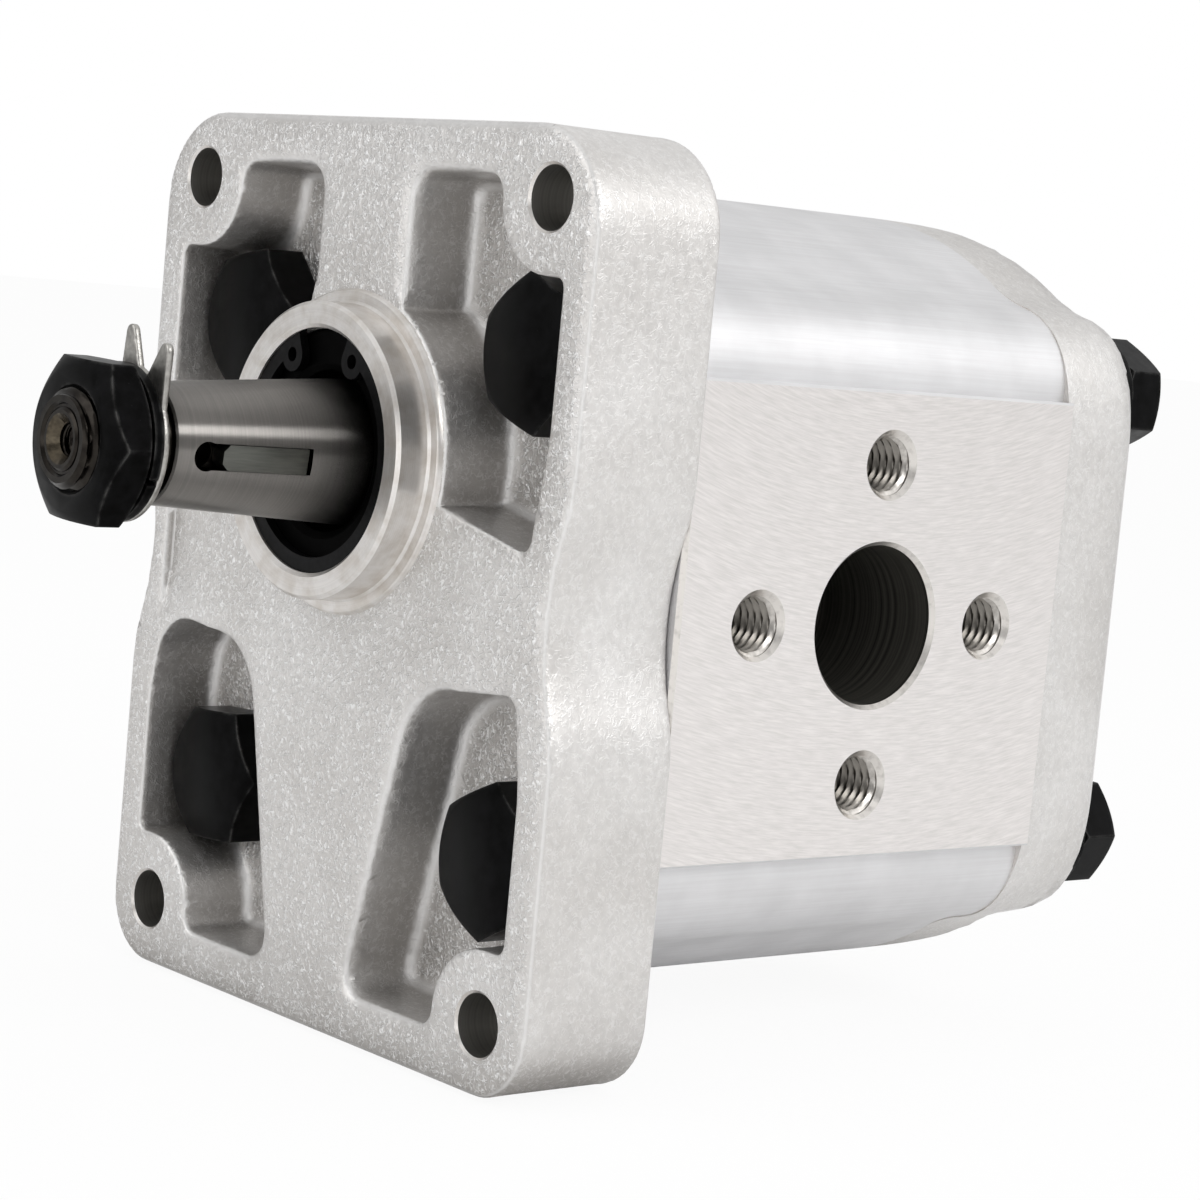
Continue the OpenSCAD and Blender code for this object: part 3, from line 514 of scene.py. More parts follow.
# Painted highlight: faces that slope between the front and the sides, on the rounded edges, are whitened.
painted_edge_highlight = ramp(tree, frontal, (0.35, 0.0), (0.60, 0.40), (0.80, 0.40), (0.95, 0.0))
skin_colour = mixed_in(tree, calc(tree, "MAXIMUM", painted_glints, painted_edge_highlight), skin_with_painted_shade, "ffffff")
rough = swing(tree, dents, 0.40, 0.47)
bump = relief_of(tree, calc(tree, "MULTIPLY_ADD", threads, 0.6, dents), 0.16, relief)
feed(tree, shader, {"Base Color": skin_colour, "Roughness": rough, "Normal": bump, "Metallic": 0.85})

# Turned aluminium: bright, with fine rings left by the tool about 0.2 mm apart, drawn at 0.25 mm.
turned_alloy, tree, shader, place = textured("turned_aluminium")
lines = noise(tree, about_shaft(tree, place), 4.0, 2.0)
tone = ramp(tree, lines, (0.30, "e2dfdc"), (0.70, "eeebe8"))
film = ramp(tree, noise(tree, place, 0.35, 4.0, Roughness=0.6), (0.35, "ebe8e4"), (0.60, "ffffff"))
bump = relief_of(tree, lines, 0.02, 0.05)
feed(tree, shader, {"Base Color": multiplied(tree, tone, film), "Normal": bump, "Metallic": 0.85,
                    "Roughness": 0.32})


def mottled(name, scale, detail, dark, light, inputs, relief=None):
    """A material whose tone follows one noise, with that noise as its relief of (depth, strength)."""
    material, tree, shader, place = textured(name)
    mottle = noise(tree, place, scale, detail)
    feed(tree, shader, {"Base Color": ramp(tree, mottle, (0.30, dark), (0.70, light)), **inputs})
    if relief:
        feed(tree, shader, {"Normal": relief_of(tree, mottle, *relief)})
    return material


CAST, TURNED, DRILLED = 0, 1, 2


def flange_face(at, normal):
    """Turned at the pilot and the holes' chamfers, drilled inside the holes, cast elsewhere."""
    if math.hypot(at.x, at.z) < RING_R + 0.15 and at.y < SEAL_SEAT_Y + 0.6:
        return TURNED
    away = min(math.hypot(at.x - px, at.z - pz) for px, pz in hole_places)
    if away < MOUNT_HOLE_R + 0.02 and 0.35 < at.y < FLANGE_T - 0.5:
        return DRILLED
    at_ends = at.y < 0.4 or at.y > FLANGE_T - 0.6
    return TURNED if away < MOUNT_HOLE_R + 0.5 and at_ends and abs(normal.y) < 0.95 else CAST


# Drilled aluminium: the holes' walls, dulled by coolant, with the drill's rings along them.
drilled_alloy, tree, shader, place = textured("drilled_aluminium")
lines = noise(tree, vector(tree, 0.0, split(tree, place)[1]), 3.0, 2.0)
tone = ramp(tree, lines, (0.30, "94928e"), (0.70, "a8a6a2"))
feed(tree, shader, {"Base Color": tone, "Metallic": 0.9, "Roughness": 0.4})

dress(flange, (cast_alloy, turned_alloy, drilled_alloy), flange_face, cast=True)
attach(flange, "housing")
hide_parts("front_flange")

# Pump body. A length of extruded aluminium section, satin from the press, whose two sides are
# milled flat and bright for the port flanges. The ports are bored and their screw holes tapped M8.
BODY_Y0, BODY_Y1, PAD_X, PAD_H = 19.0, 85.0, 43.0, 58.3
CROWN_R, CROWN_SHIFT, BOSS_R, CROWN_BLEND_R = 47.0, 4.5, 11.0, 20.0
PORT_Y, PORT_DEPTH, PORT_ZONE_R, PORT_ZONE_H, GEAR_BORE_R = 52.0, 20.0, 11.0, 27.0, 18.153
PAD_CHAMFER, END_CHAMFER, MOUTH, TAP_DEPTH, CHANNEL_X = 0.3, 0.55, 0.9, 15.0, 3.0
EASE_RUN, EASE_TURN = 7.0, 38.0


def pump_profile(side_x, boss_r, side_h=None):
    """The section of body and cover: crowns above and below, bolt bosses at the corners, flat sides.

    Sides that are side_h high end in a step at the bosses; the others run into them in one curve.
    """
    crown, boss = np.array((0, CROWN_SHIFT)), np.array((BOLT_X, BOLT_Z))
    r1, r2, span = CROWN_R + CROWN_BLEND_R, boss_r + CROWN_BLEND_R, float(np.hypot(*(boss - crown)))
    along = (r1 ** 2 - r2 ** 2 + span ** 2) / (2 * span)
    toward = (boss - crown) / span
    blend = crown + toward * along + np.array((-toward[1], toward[0])) * math.sqrt(r1 ** 2 - along ** 2)
    at_crown = math.degrees(math.atan2(*(blend - crown)[::-1]))
    at_boss = math.degrees(math.atan2(*(blend - boss)[::-1]))
    if side_h is None:
        turn = math.radians(EASE_TURN)
        start, end = np.array((side_x, BOLT_Z - EASE_RUN)), boss + polar(boss_r, EASE_TURN)
        pull = np.linalg.norm(end - start) / 3
        first = start + pull * np.array((0, 1))
        second = end - pull * np.array((-math.sin(turn), math.cos(turn)))
        quarter = [start * (1 - t) ** 3 + 3 * first * t * (1 - t) ** 2 + 3 * second * t ** 2 * (1 - t)
                   + end * t ** 3 for t in np.linspace(0, 1, 12)]
        quarter += arc(boss, boss_r, EASE_TURN, at_boss, 16)[1:]
    else:
        foot = math.degrees(math.asin((side_h / 2 - BOLT_Z) / boss_r))
        quarter = [np.array((side_x, side_h / 2 - PAD_CHAMFER)), np.array((side_x - PAD_CHAMFER, side_h / 2))]
        quarter += arc(boss, boss_r, foot, at_boss, 16)
    quarter += arc(blend, CROWN_BLEND_R, at_boss + 180, at_crown + 180, 8)[1:-1]
    quarter += arc(crown, CROWN_R, at_crown, 90, 24)
    side = [np.array((p[0], -p[1])) for p in reversed(quarter)] + quarter
    return [p + np.array((0, MIDDLE_Z)) for p in side + mirrored(side[1:-1])]


def thread(name, core, depth, pitch, start, end, steps=48, relief=0.0, **where):
    """A screw thread as a turned solid whose radius winds round it; relief tapers both ends."""
    rows = max(4, int((end - start) / pitch * 10))
    profile = [(core, start + (end - start) * i / rows) for i in range(rows + 1)]

    def wind(radius, along, angle):
        phase = (along / pitch + angle / (2 * math.pi)) % 1.0
        ridge = min(1.0, 1.35 * (1 - abs(2 * phase - 1)))
        ends = min(1.0, (along - start) / relief, (end - along) / relief) if relief else 1.0
        return radius + depth * ridge * max(0.0, ends)
    return turned(name, profile, steps=steps, bend=wind, **where)


body = prism("body_extrusion", pump_profile(PAD_X, BOSS_R, PAD_H), BODY_Y0, BODY_Y1)
shaft_places = ((0, 0), (0, -CENTRE_DISTANCE))
bored(body, "gear_bore", GEAR_BORE_R, BODY_Y0 - 1, BODY_Y1 + 1, shaft_places, 128)
bored(body, "bolt_bore", BOLT_HOLE_R, BODY_Y0 - 1, BODY_Y1 + 1, bolt_places)
for side in (1, -1):
    for end, inward in ((BODY_Y0, 1), (BODY_Y1, -1)):
        wedge = [(side * PAD_X, end + inward * END_CHAMFER), (side * (PAD_X - END_CHAMFER), end),
                 (side * (PAD_X - END_CHAMFER), end - inward), (side * (PAD_X + 1), end - inward),
                 (side * (PAD_X + 1), end + inward * END_CHAMFER)]
        edge = prism("edge", [(px, -py) for px, py in wedge],
                     MIDDLE_Z - PAD_H / 2 - 0.5, MIDDLE_Z + PAD_H / 2 + 0.5)
        edge.data.transform(Matrix.Rotation(math.radians(90), 4, "X"))
        carve(body, [edge])
# Each port's side and radius, its screws' circle, and their threads' core radius, depth and pitch.
SUCTION, PRESSURE = (1, 10.0, 20.0, 3.4, 0.66, 1.25), (-1, 6.75, 15.0, 2.5, 0.5, 1.0)
for side, port_r, ring_r, tap_r, thread_depth, pitch in (SUCTION, PRESSURE):
    mouth, foot = side * PAD_X, side * (PAD_X - PORT_DEPTH)
    carve(body, [turned("port", (
        (port_r + 1.4, mouth + side * 0.8), (port_r + 0.55, mouth), (port_r, mouth - side * 0.6),
        (port_r, foot), (port_r - 1, foot), (port_r - 1, side * CHANNEL_X)),
        PORT_Y, MIDDLE_Z, steps=128, axis="x")])
    for turn in range(4):
        dy, dz = polar(ring_r, 90 * turn)
        start, end = sorted((mouth - side * TAP_DEPTH, mouth + side * 0.8))
        sink = ((tap_r - 0.4, mouth - side * 1.4), (tap_r + 1.0, mouth), (tap_r + 1.9, mouth + side * 0.9))
        carve(body, [
            thread("tap", tap_r, thread_depth, pitch, start, end, x=PORT_Y + dy, z=MIDDLE_Z + dz, axis="x"),
            turned("countersink", sink, PORT_Y + dy, MIDDLE_Z + dz, steps=64, axis="x")])

# Extruded aluminium: satin, with faint lines along the section from the die, 0.1 to 0.5 mm apart.
extruded_alloy, tree, shader, place = textured("extruded_aluminium")
stretch = add(tree, "ShaderNodeMapping", {"Scale": (1.0, 0.02, 1.0), "Vector": place})
draw_lines = noise(tree, stretch.outputs[0], 2.4, 4.0, Roughness=0.65)
tone = ramp(tree, draw_lines, (0.30, "e1e0e1"), (0.70, "e9e9ea"))
stain = ramp(tree, noise(tree, place, 0.12, 3.0), (0.35, "f6f6f6"), (0.65, "ffffff"))
rough = swing(tree, draw_lines, 0.47, 0.51)
bump = relief_of(tree, draw_lines, 0.01, 0.10)
feed(tree, shader, {"Base Color": multiplied(tree, tone, stain), "Roughness": rough, "Normal": bump,
                    "Metallic": 0.9})

# Milled aluminium: the fly cutter's arcs, 0.2 mm apart on the real one, drawn at about 0.3 mm.
milled_alloy, tree, shader, place = textured("milled_aluminium")
CUTTER_AT = (PORT_Y + 2, MIDDLE_Z + 108.0, 0.0)
_, along, upward = split(tree, place)
inputs = {0: vector(tree, along, upward), 1: CUTTER_AT}
moved = add(tree, "ShaderNodeVectorMath", inputs, operation="SUBTRACT")
swept = vector(tree, length(tree, moved.outputs[0]), calc(tree, "MULTIPLY", along, 0.07))
arcs = noise(tree, swept, 3.6, 2.0, Roughness=0.7)
tone = ramp(tree, arcs, (0.30, "dcd9d6"), (0.50, "e6e2e0"), (0.70, "f0ecea"))
bump = relief_of(tree, arcs, 0.02, 0.12)
feed(tree, shader, {"Base Color": tone, "Normal": bump, "Metallic": 0.85, "Roughness": 0.36})


EXTRUDED, MILLED, TAPPED, PORT = 0, 1, 2, 3


def body_face(at, normal):
    """Milled on the pads, tapped or port inside their holes, extruded elsewhere."""
    if abs(at.x) > PAD_X - 0.01 and abs(normal.x) > 0.9:
        return MILLED
    in_zone = BODY_Y0 + 0.01 < at.y < BODY_Y1 - 0.01 and abs(at.z - MIDDLE_Z) < PORT_ZONE_H
    if not in_zone or abs(at.x) >= PAD_X - 0.01:
        return EXTRUDED
    in_port = math.hypot(at.y - PORT_Y, at.z - MIDDLE_Z) < PORT_ZONE_R and abs(at.x) < PAD_X - MOUTH
    return PORT if in_port else TAPPED


# Bored and tapped aluminium: bright at the mouth and darker with depth, that darkening a painted shade of the
# deep holes, mottled by a film of oil.
bored_alloy, tree, shader, place = textured("bored_aluminium_painted_depth_shade")
across_body = calc(tree, "ABSOLUTE", split(tree, place)[0])
# Painted shade: the colour darkens with depth into the holes.
depth = swing(tree, across_body, 0.0, 1.0, PAD_X - 9.0, PAD_X - 0.8)
film = calc(tree, "MULTIPLY_ADD", noise(tree, place, 1.2, 3.0), 0.3, -0.15)
tone = ramp(tree, calc(tree, "ADD", depth, film), (0.0, "6f6b65"), (0.80, "8d8983"), (1.0, "dedad5"))
feed(tree, shader, {"Base Color": tone, "Metallic": 1.0, "Roughness": 0.3})

# The ports' walls: drilled in one pass, with the drill's rings along them, and painted dark as the shade inside
# the deep ports.
port_alloy, tree, shader, place = textured("drilled_aluminium_painted_shade")
rings = noise(tree, vector(tree, split(tree, place)[0]), 1.6, 3.0, Roughness=0.6)
# Painted shade: a dark tone for the walls of the deep ports.
tone = ramp(tree, rings, (0.35, "2c2b28"), (0.65, "64625c"))
feed(tree, shader, {"Base Color": tone, "Metallic": 0.4, "Roughness": 0.3})

dress(body, (extruded_alloy, milled_alloy, bored_alloy, port_alloy), body_face, crease=28.0)
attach(body, "housing")
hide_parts("pump_body")

# Rear cover. A cast plate of the body's section with well rounded rear edges, faced where the
# washers sit. It is drawn as a field of distances, as the flange is, and cut flat at the joint.
COVER_Y1, COVER_SIDE, COVER_EDGE_R, COVER_BOSS_R, COVER_SPACING = 101.5, 42.0, 5.5, 11.2, 0.45
SPOT_DEPTH, SPOT_R, COVER_DRAFT, DRAFT_Y0, RECESS_DEPTH = 0.5, 8.5, 0.05, 90, 3
COVER_GRID_X, COVER_GRID_Y0, COVER_GRID_H = 44, 83, 54
low = (-COVER_GRID_X, COVER_GRID_Y0, MIDDLE_Z - COVER_GRID_H)
high = (COVER_GRID_X, COVER_Y1 + GRID_MARGIN, MIDDLE_Z + COVER_GRID_H)
x, y, z = grid(low, high, COVER_SPACING)
across, upward = seen_along_y(x, z)
section = distance_to(pump_profile(COVER_SIDE, COVER_BOSS_R), across, upward)[:, None, :]
section = section + COVER_DRAFT * np.maximum(y - DRAFT_Y0, 0)
cover = skin("cover_casting", both(section, y - COVER_Y1, COVER_EDGE_R), low, COVER_SPACING)
block = [np.array(p) for p in ((-60, -80), (60, -80), (60, 60), (-60, 60))]
carve(cover, [prism("cover_block", block, BODY_Y1, COVER_Y1 + 3)], "INTERSECT")
bored(cover, "spot_face", SPOT_R, COVER_Y1 - SPOT_DEPTH, COVER_Y1 + 2, bolt_places, 64)
bored(cover, "cover_bolt_hole", BOLT_HOLE_R, BODY_Y1 - 1, COVER_Y1 + 1, bolt_places)
bored(cover, "shaft_recess", SHAFT_HOLE_R, BODY_Y1 - 1, BODY_Y1 + RECESS_DEPTH, shaft_places, 64)


def cover_face(at, normal):
    """Turned on the spot faces and the joint, cast elsewhere."""
    spotted = (COVER_Y1 - 0.6 < at.y < COVER_Y1 - 0.3
               and any(math.hypot(at.x - px, at.z - pz) < SPOT_R + 0.1 for px, pz in bolt_places))
    return TURNED if spotted or at.y < BODY_Y1 + 0.01 else CAST


dress(cover, (cast_alloy, turned_alloy), cover_face, cast=True)
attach(cover, "housing")
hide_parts("rear_cover")

# Long bolts, washers and nuts. M10 hexagon screws, hot-forged and chemically blacked, run from
# the flange's pockets through body and cover to nuts at the rear. Each is made once and repeated.
HEAD_AF, HEAD_T, NUT_AF, NUT_T, WASHER_R, WASHER_T, WASHER_EDGE = 17.0, 6.4, 13.6, 7.0, 8.0, 1.6, 0.25
SHANK_R, M10_CORE_R, M10_DEPTH, M10_PITCH = 5, 4.2, 0.8, 1.5
HEAD_TURNS, NUT_TURNS = (3, 12, 27, 38), (41, 10, 1, 28)


def hexagon(name, af, y0, y1, front, rear, bore=None, edge=0.28, face=0.475):
    """A hexagon bar along Y with cone-bevelled ends, softened edges and, if asked, a bore.

    face is the radius of the flat inside the bevel, as a share of the width across flats.
    """
    corner = af / math.sqrt(3)
    flat, past = face * af, corner + 0.4
    drop = (corner - flat) * math.tan(math.radians(30)) + 0.23
    outline = rounded([(*polar(corner, 60 * i), edge) for i in range(6)], 3)
    bar = prism(name, outline, y0, y1)
    cone = [(0.2, y0)] + ([(flat, y0), (past, y0 + drop)] if front else [(past, y0)])
    cone += ([(past, y1 - drop), (flat, y1)] if rear else [(past, y1)]) + [(0.2, y1)]
    carve(bar, [turned("bevel", cone, steps=120)], "INTERSECT")
    if bore:
        mouth = bore + 1.6
        hole = ((mouth, y0 - 0.8), (bore, y0 + 0.8), (bore, y1 - 0.8), (mouth, y1 + 0.8))
        carve(bar, [turned("nut_bore", hole, steps=64)])
    return bar


def joined(name, parts):
    """Several closed meshes as one object."""
    work = bmesh.new()
    for part in parts:
        work.from_mesh(part.data)
        bpy.data.objects.remove(part)
    mesh = bpy.data.meshes.new(name)
    work.to_mesh(mesh)
    work.free()
    return placed(name, mesh)


def repeated(name, pattern, places, turns, material):
    """Geometry Nodes that set one pattern at each place, turned about Y, as one plain mesh."""
    tree = bpy.data.node_groups.new(name + "_tree", "GeometryNodeTree")
    tree.interface.new_socket("Geometry", in_out="INPUT", socket_type="NodeSocketGeometry")
    pattern_in = tree.interface.new_socket("Pattern", in_out="INPUT", socket_type="NodeSocketObject")
    material_in = tree.interface.new_socket("Material", in_out="INPUT", socket_type="NodeSocketMaterial")
    tree.interface.new_socket("Geometry", in_out="OUTPUT", socket_type="NodeSocketGeometry")
    given = add(tree, "NodeGroupInput")
    shape = add(tree, "GeometryNodeObjectInfo", {"Object": given.outputs["Pattern"]})
    angle = add(tree, "GeometryNodeInputNamedAttribute", {"Name": "turn"}, data_type="FLOAT")
    spin = add(tree, "ShaderNodeCombineXYZ", {"Y": angle.outputs[0]})
    set_out = add(tree, "GeometryNodeInstanceOnPoints", {
        "Points": given.outputs["Geometry"], "Instance": shape.outputs["Geometry"],
        "Rotation": spin.outputs[0]})
    real = add(tree, "GeometryNodeRealizeInstances", {0: set_out.outputs[0]})
    dressed = add(tree, "GeometryNodeSetMaterial",
                  {"Geometry": real.outputs[0], "Material": given.outputs["Material"]})
    add(tree, "NodeGroupOutput", {0: dressed.outputs[0]})
    points = bpy.data.meshes.new(name)
    points.from_pydata([(px * MM, 0, pz * MM) for px, pz in places], [], [])
    points.attributes.new("turn", "FLOAT", "POINT").data.foreach_set("value", [math.radians(-a) for a in turns])
    made = placed(name, points)
    modifier = made.modifiers.new("repeat", "NODES")
    modifier.node_group = tree
    modifier[pattern_in.identifier] = pattern
    modifier[material_in.identifier] = material
    settle(made)
    bpy.data.objects.remove(pattern)
    return made


# Black oxide on steel: a thin, slightly oily skin with lint specks, and greyer edges that are painted
# highlights as well as wear.
black_oxide, tree, shader, place = textured("black_oxide_steel")
mottle = noise(tree, place, 0.5, 5.0, Roughness=0.6)
specks = add(tree, "ShaderNodeTexVoronoi", {"Scale": 0.8, "Vector": place})
tone = ramp(tree, mottle, (0.35, "070707"), (0.70, "111112"))
dust = ramp(tree, specks.outputs["Distance"], (0.0, "6a6a6c"), (0.045, "000000"))
dusty = add(tree, "ShaderNodeMix", {0: 0.25, 6: tone, 7: dust}, data_type="RGBA", blend_type="ADD")
softened = add(tree, "ShaderNodeBevel", {"Radius": 0.6 * MM}, samples=4)
sides = {0: softened.outputs[0], 1: add(tree, "ShaderNodeNewGeometry").outputs["Normal"]}
agree = add(tree, "ShaderNodeVectorMath", sides, operation="DOT_PRODUCT")
# Painted highlight and wear: the edges, found by the bevel's rounded normals, turn greyer in patches.
rubbed = swing(tree, agree.outputs["Value"], 0.0, 0.3, 0.99, 0.90)
patches = ramp(tree, mottle, (0.42, 0.1), (0.62, 1.0))
dust_wear_and_painted_edges = mixed_in(tree, calc(tree, "MULTIPLY", rubbed, patches), dusty.outputs[2], "8a8987")
rough = swing(tree, mottle, 0.28, 0.42)
bump = relief_of(tree, mottle, 0.04, 0.25)
feed(tree, shader, {"Base Color": dust_wear_and_painted_edges, "Roughness": rough, "Normal": bump, "Metallic": 0.5,
                    "Specular IOR Level": 0.04})

NUT_Y0 = COVER_Y1 - SPOT_DEPTH + WASHER_T
BOLT_END = NUT_Y0 + NUT_T + 0.5
bolt = joined("long_bolt", [
    hexagon("head", HEAD_AF, POCKET_DEPTH - HEAD_T, POCKET_DEPTH, True, False),
    turned("shank", ((SHANK_R, POCKET_DEPTH - 0.5), (SHANK_R, NUT_Y0 - 6)), steps=48),
    thread("bolt_thread", M10_CORE_R, M10_DEPTH, M10_PITCH, NUT_Y0 - 7, BOLT_END, relief=0.8)])
bolts = repeated("long_bolts_black", bolt, bolt_places, HEAD_TURNS, black_oxide)
nut = hexagon("nut", NUT_AF, NUT_Y0, NUT_Y0 + NUT_T, True, True, bore=4.6)
nuts = repeated("rear_nuts_black", nut, bolt_places, NUT_TURNS, black_oxide)
ring = turned("washer", (
    (WASHER_R - WASHER_EDGE, NUT_Y0 - WASHER_T), (WASHER_R, NUT_Y0 - WASHER_T + WASHER_EDGE),
    (WASHER_R, NUT_Y0 - WASHER_EDGE), (WASHER_R - WASHER_EDGE, NUT_Y0)), steps=80)
bored(ring, "washer_hole", BOLT_HOLE_R, NUT_Y0 - 3, NUT_Y0 + 1, ((0, 0),))
washers = repeated("rear_washers_black", ring, bolt_places, (0, 0, 0, 0), black_oxide)
for piece, node in ((bolts, "long_bolts"), (nuts, "rear_nuts"), (washers, "rear_washers")):
    dress(piece, (black_oxide,))
    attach(piece, "housing")
    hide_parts(node)

# Drive shaft. Case-hardened steel in one piece with its gear: the 1:8 taper and the journal are
# ground, the M12 thread at its end is rolled and dark, with a tapped centre in its face.
SHAFT_END, THREAD_R, TAPER_Y0, TAPER_Y1, JOURNAL_R, TAPER = -40.0, 6.0, -28.7, -0.5, 9.0, 1 / 8
STUB_DEPTH, STUB_PITCH, M4_CORE_R, M4_DEPTH, M4_PITCH = 0.92, 1.5, 1.7, 0.35, 0.8
DISH_R, RIM_R, CENTRE_R, CENTRE_HOLE_R, SINK_Y1 = 4.35, 3.8, 3.0, 1.9, SHAFT_END + 1.2
HIDDEN_Y, SLOT_Y0, SLOT_Y1, SLOT_HALF, SLOT_END_R = 2.0, -24.5, -10.3, 1.6, 1.75
KEY_ANGLE, KEY_DEPTH, KEY_Y0 = -6.0, 2.6, -22.5


def cad_copy(name, node):
    """A copy of a CAD node's mesh with its loose triangles merged."""
    made = placed(name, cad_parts[node].data.copy())
    made.matrix_world = Matrix.Identity(4)
    with opened(made.data) as work:
        bmesh.ops.remove_doubles(work, verts=work.verts, dist=2e-6)
    return made


def taper_r(along):
    """The taper's radius at a place along the shaft."""
    return JOURNAL_R - (TAPER_Y1 - along) * TAPER / 2


seat = (Matrix.Rotation(math.radians(-KEY_ANGLE), 4, "Y")
        @ Matrix.Translation(Vector((taper_r(KEY_Y0), KEY_Y0, 0)) * MM)
        @ Matrix.Rotation(-math.atan(TAPER / 2), 4, "Z"))


def seated(name, outline, low, high, edge=0.0):
    """An outline of (along, across) millimetres raised from low to high over the key's seat."""
    points = [(level * MM, along * MM, across * MM) for level in (low, high) for along, across in outline]
    made = solid(name, points, between_ends(len(outline)))
    with opened(made.data) as work:
        if edge:
            bmesh.ops.bevel(work, geom=work.edges[:], offset=edge * MM, segments=2, affect="EDGES", profile=0.6)
        bmesh.ops.transform(work, matrix=seat, verts=work.verts)
    return made


shaft = cad_copy("drive_shaft_ground", "drive_gear_shaft")
carve(shaft, [prism("front_block", block, SHAFT_END - 2, HIDDEN_Y)])
end_r = taper_r(TAPER_Y0)
rows = [(end_r - 1.2, TAPER_Y0 - 1.3), (end_r - 1.0, TAPER_Y0), (end_r - 0.25, TAPER_Y0),
        (end_r, TAPER_Y0 + 0.25)]
rows += [(taper_r(along), along) for along in np.linspace(TAPER_Y0 + 1, TAPER_Y1, 29)]
taper = turned("taper", rows + [(JOURNAL_R, 0.3), (JOURNAL_R, HIDDEN_Y + 0.2)], steps=192)
slot = [(along - KEY_Y0, across) for along, across in (
    (SLOT_Y0, -SLOT_HALF), (SLOT_Y1, -SLOT_HALF), (SLOT_Y1, SLOT_HALF), (SLOT_Y0, SLOT_HALF))]
carve(taper, [seated("key_slot", slot, -KEY_DEPTH, KEY_DEPTH)])
drill = turned("slot_end", ((SLOT_END_R + 0.2, 1.0), (SLOT_END_R + 0.02, -0.12), (SLOT_END_R, -5.0)), steps=48)
drill.data.transform(seat @ Matrix.Translation(Vector((0, SLOT_Y0 - KEY_Y0, 0)) * MM)
                     @ Matrix.Rotation(math.radians(-90), 4, "Z"))
carve(taper, [drill])
carve(shaft, [taper], "UNION")
stub = thread("stub", THREAD_R - STUB_DEPTH, STUB_DEPTH, STUB_PITCH, SHAFT_END + 0.02, TAPER_Y0 - 1.2,
              steps=64, relief=1.0)
carve(stub, [turned("dish", (
    (DISH_R, SHAFT_END - 0.5), (DISH_R, SHAFT_END + 0.05), (DISH_R - 0.3, SHAFT_END + 0.4)), steps=64)])
carve(stub, [turned("rim", (
    (RIM_R, SHAFT_END + 0.6), (RIM_R - 0.05, SHAFT_END + 0.25), (RIM_R - 0.4, SHAFT_END + 0.02)),
    steps=64)], "UNION")
sink = ((CENTRE_R + 0.25, SHAFT_END - 0.4), (CENTRE_R, SHAFT_END), (CENTRE_HOLE_R, SINK_Y1),
        (CENTRE_HOLE_R, SINK_Y1 + 0.8))
carve(stub, [turned("centre", sink, steps=48),
             thread("centre_tap", M4_CORE_R, M4_DEPTH, M4_PITCH, SHAFT_END + 1.0, SHAFT_END + 11, steps=40)])
carve(shaft, [stub], "UNION")

# Ground steel: fine lines round the shaft, 0.05 mm apart on the real one and drawn at 0.25 mm.
# They spread each reflection along the shaft, so the light runs down it as one straight band.
ground_steel, tree, shader, place = textured("ground_steel")
lines = noise(tree, about_shaft(tree, place), 4.0, 3.0, Roughness=0.7)
tone = ramp(tree, lines, (0.30, "868380"), (0.70, "94918d"))
# Painted shade: the steel darkens where the pilot and the seal's bore close round it, standing for the dark
# bore it reflects.
painted_bore_shade = ramp(tree, openness(tree, 20), (0.45, "141312"), (0.85, "ffffff"))
rough = swing(tree, noise(tree, place, 0.25, 4.0), 0.32, 0.36)
bump = relief_of(tree, lines, 0.01, 0.08)
round_it = add(tree, "ShaderNodeTangent", direction_type="RADIAL", axis="Y").outputs[0]
feed(tree, shader, {"Base Color": multiplied(tree, tone, painted_bore_shade), "Roughness": rough, "Normal": bump,
                    "Tangent": round_it,
                    "Metallic": 1.0, "Anisotropic": 0.98, "Anisotropic Rotation": 0.25})

# Rolled thread: darker steel with brown-grey oil in its roots; it also paints shade on the walls of the key's
# slot.
dark_steel = mottled("dark_thread_steel_and_slot_shade", 0.9, 4.0, "24211f", "35322e", {"Metallic": 1.0, "Roughness": 0.22},
                     relief=(0.02, 0.08))

# The countersink in the shaft's end, rubbed to a brassy grey by the lathe's centre.
centre_steel = mottled("rubbed_centre_steel", 1.5, 3.0, "3f3a32", "5f574a",
                       {"Metallic": 1.0, "Roughness": 0.25})
GROUND, DARK, CENTRE = 0, 1, 2


def shaft_face(at, normal):
    """Rubbed in the countersink, dark on the thread, painted dark as shade in the key's slot, ground elsewhere.
    """
    away = math.hypot(at.x, at.z)
    if CENTRE_HOLE_R + 0.05 < away < CENTRE_R + 0.02 and SHAFT_END < at.y < SINK_Y1 and abs(normal.y) < 0.9:
        return CENTRE
    # Painted shade: the faces of the key's slot, below the taper's surface, get the dark steel.
    slot_shade = away < taper_r(at.y) - 0.35 and SLOT_Y0 - 3 < at.y < SLOT_Y1 + 0.5
    return DARK if at.y < TAPER_Y0 - 0.02 or slot_shade else GROUND


dress(shaft, (ground_steel, dark_steel, centre_steel), shaft_face, crease=30.0)
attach(shaft, "drive_shaft")
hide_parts("drive_gear_shaft")

# Key. A straight piece of bright key steel pressed into the taper's seat, its top almost flush.
KEY_HALF, KEY_LEN, KEY_NIP, KEY_PROUD, KEY_EDGE = 1.55, 11.6, 0.8, 0.1, 0.15
key = seated("key_steel", (
    (0, KEY_NIP - KEY_HALF), (KEY_NIP, -KEY_HALF), (KEY_LEN, -KEY_HALF), (KEY_LEN, KEY_HALF),
    (KEY_NIP, KEY_HALF), (0, KEY_HALF - KEY_NIP)), -KEY_DEPTH, KEY_PROUD, KEY_EDGE)

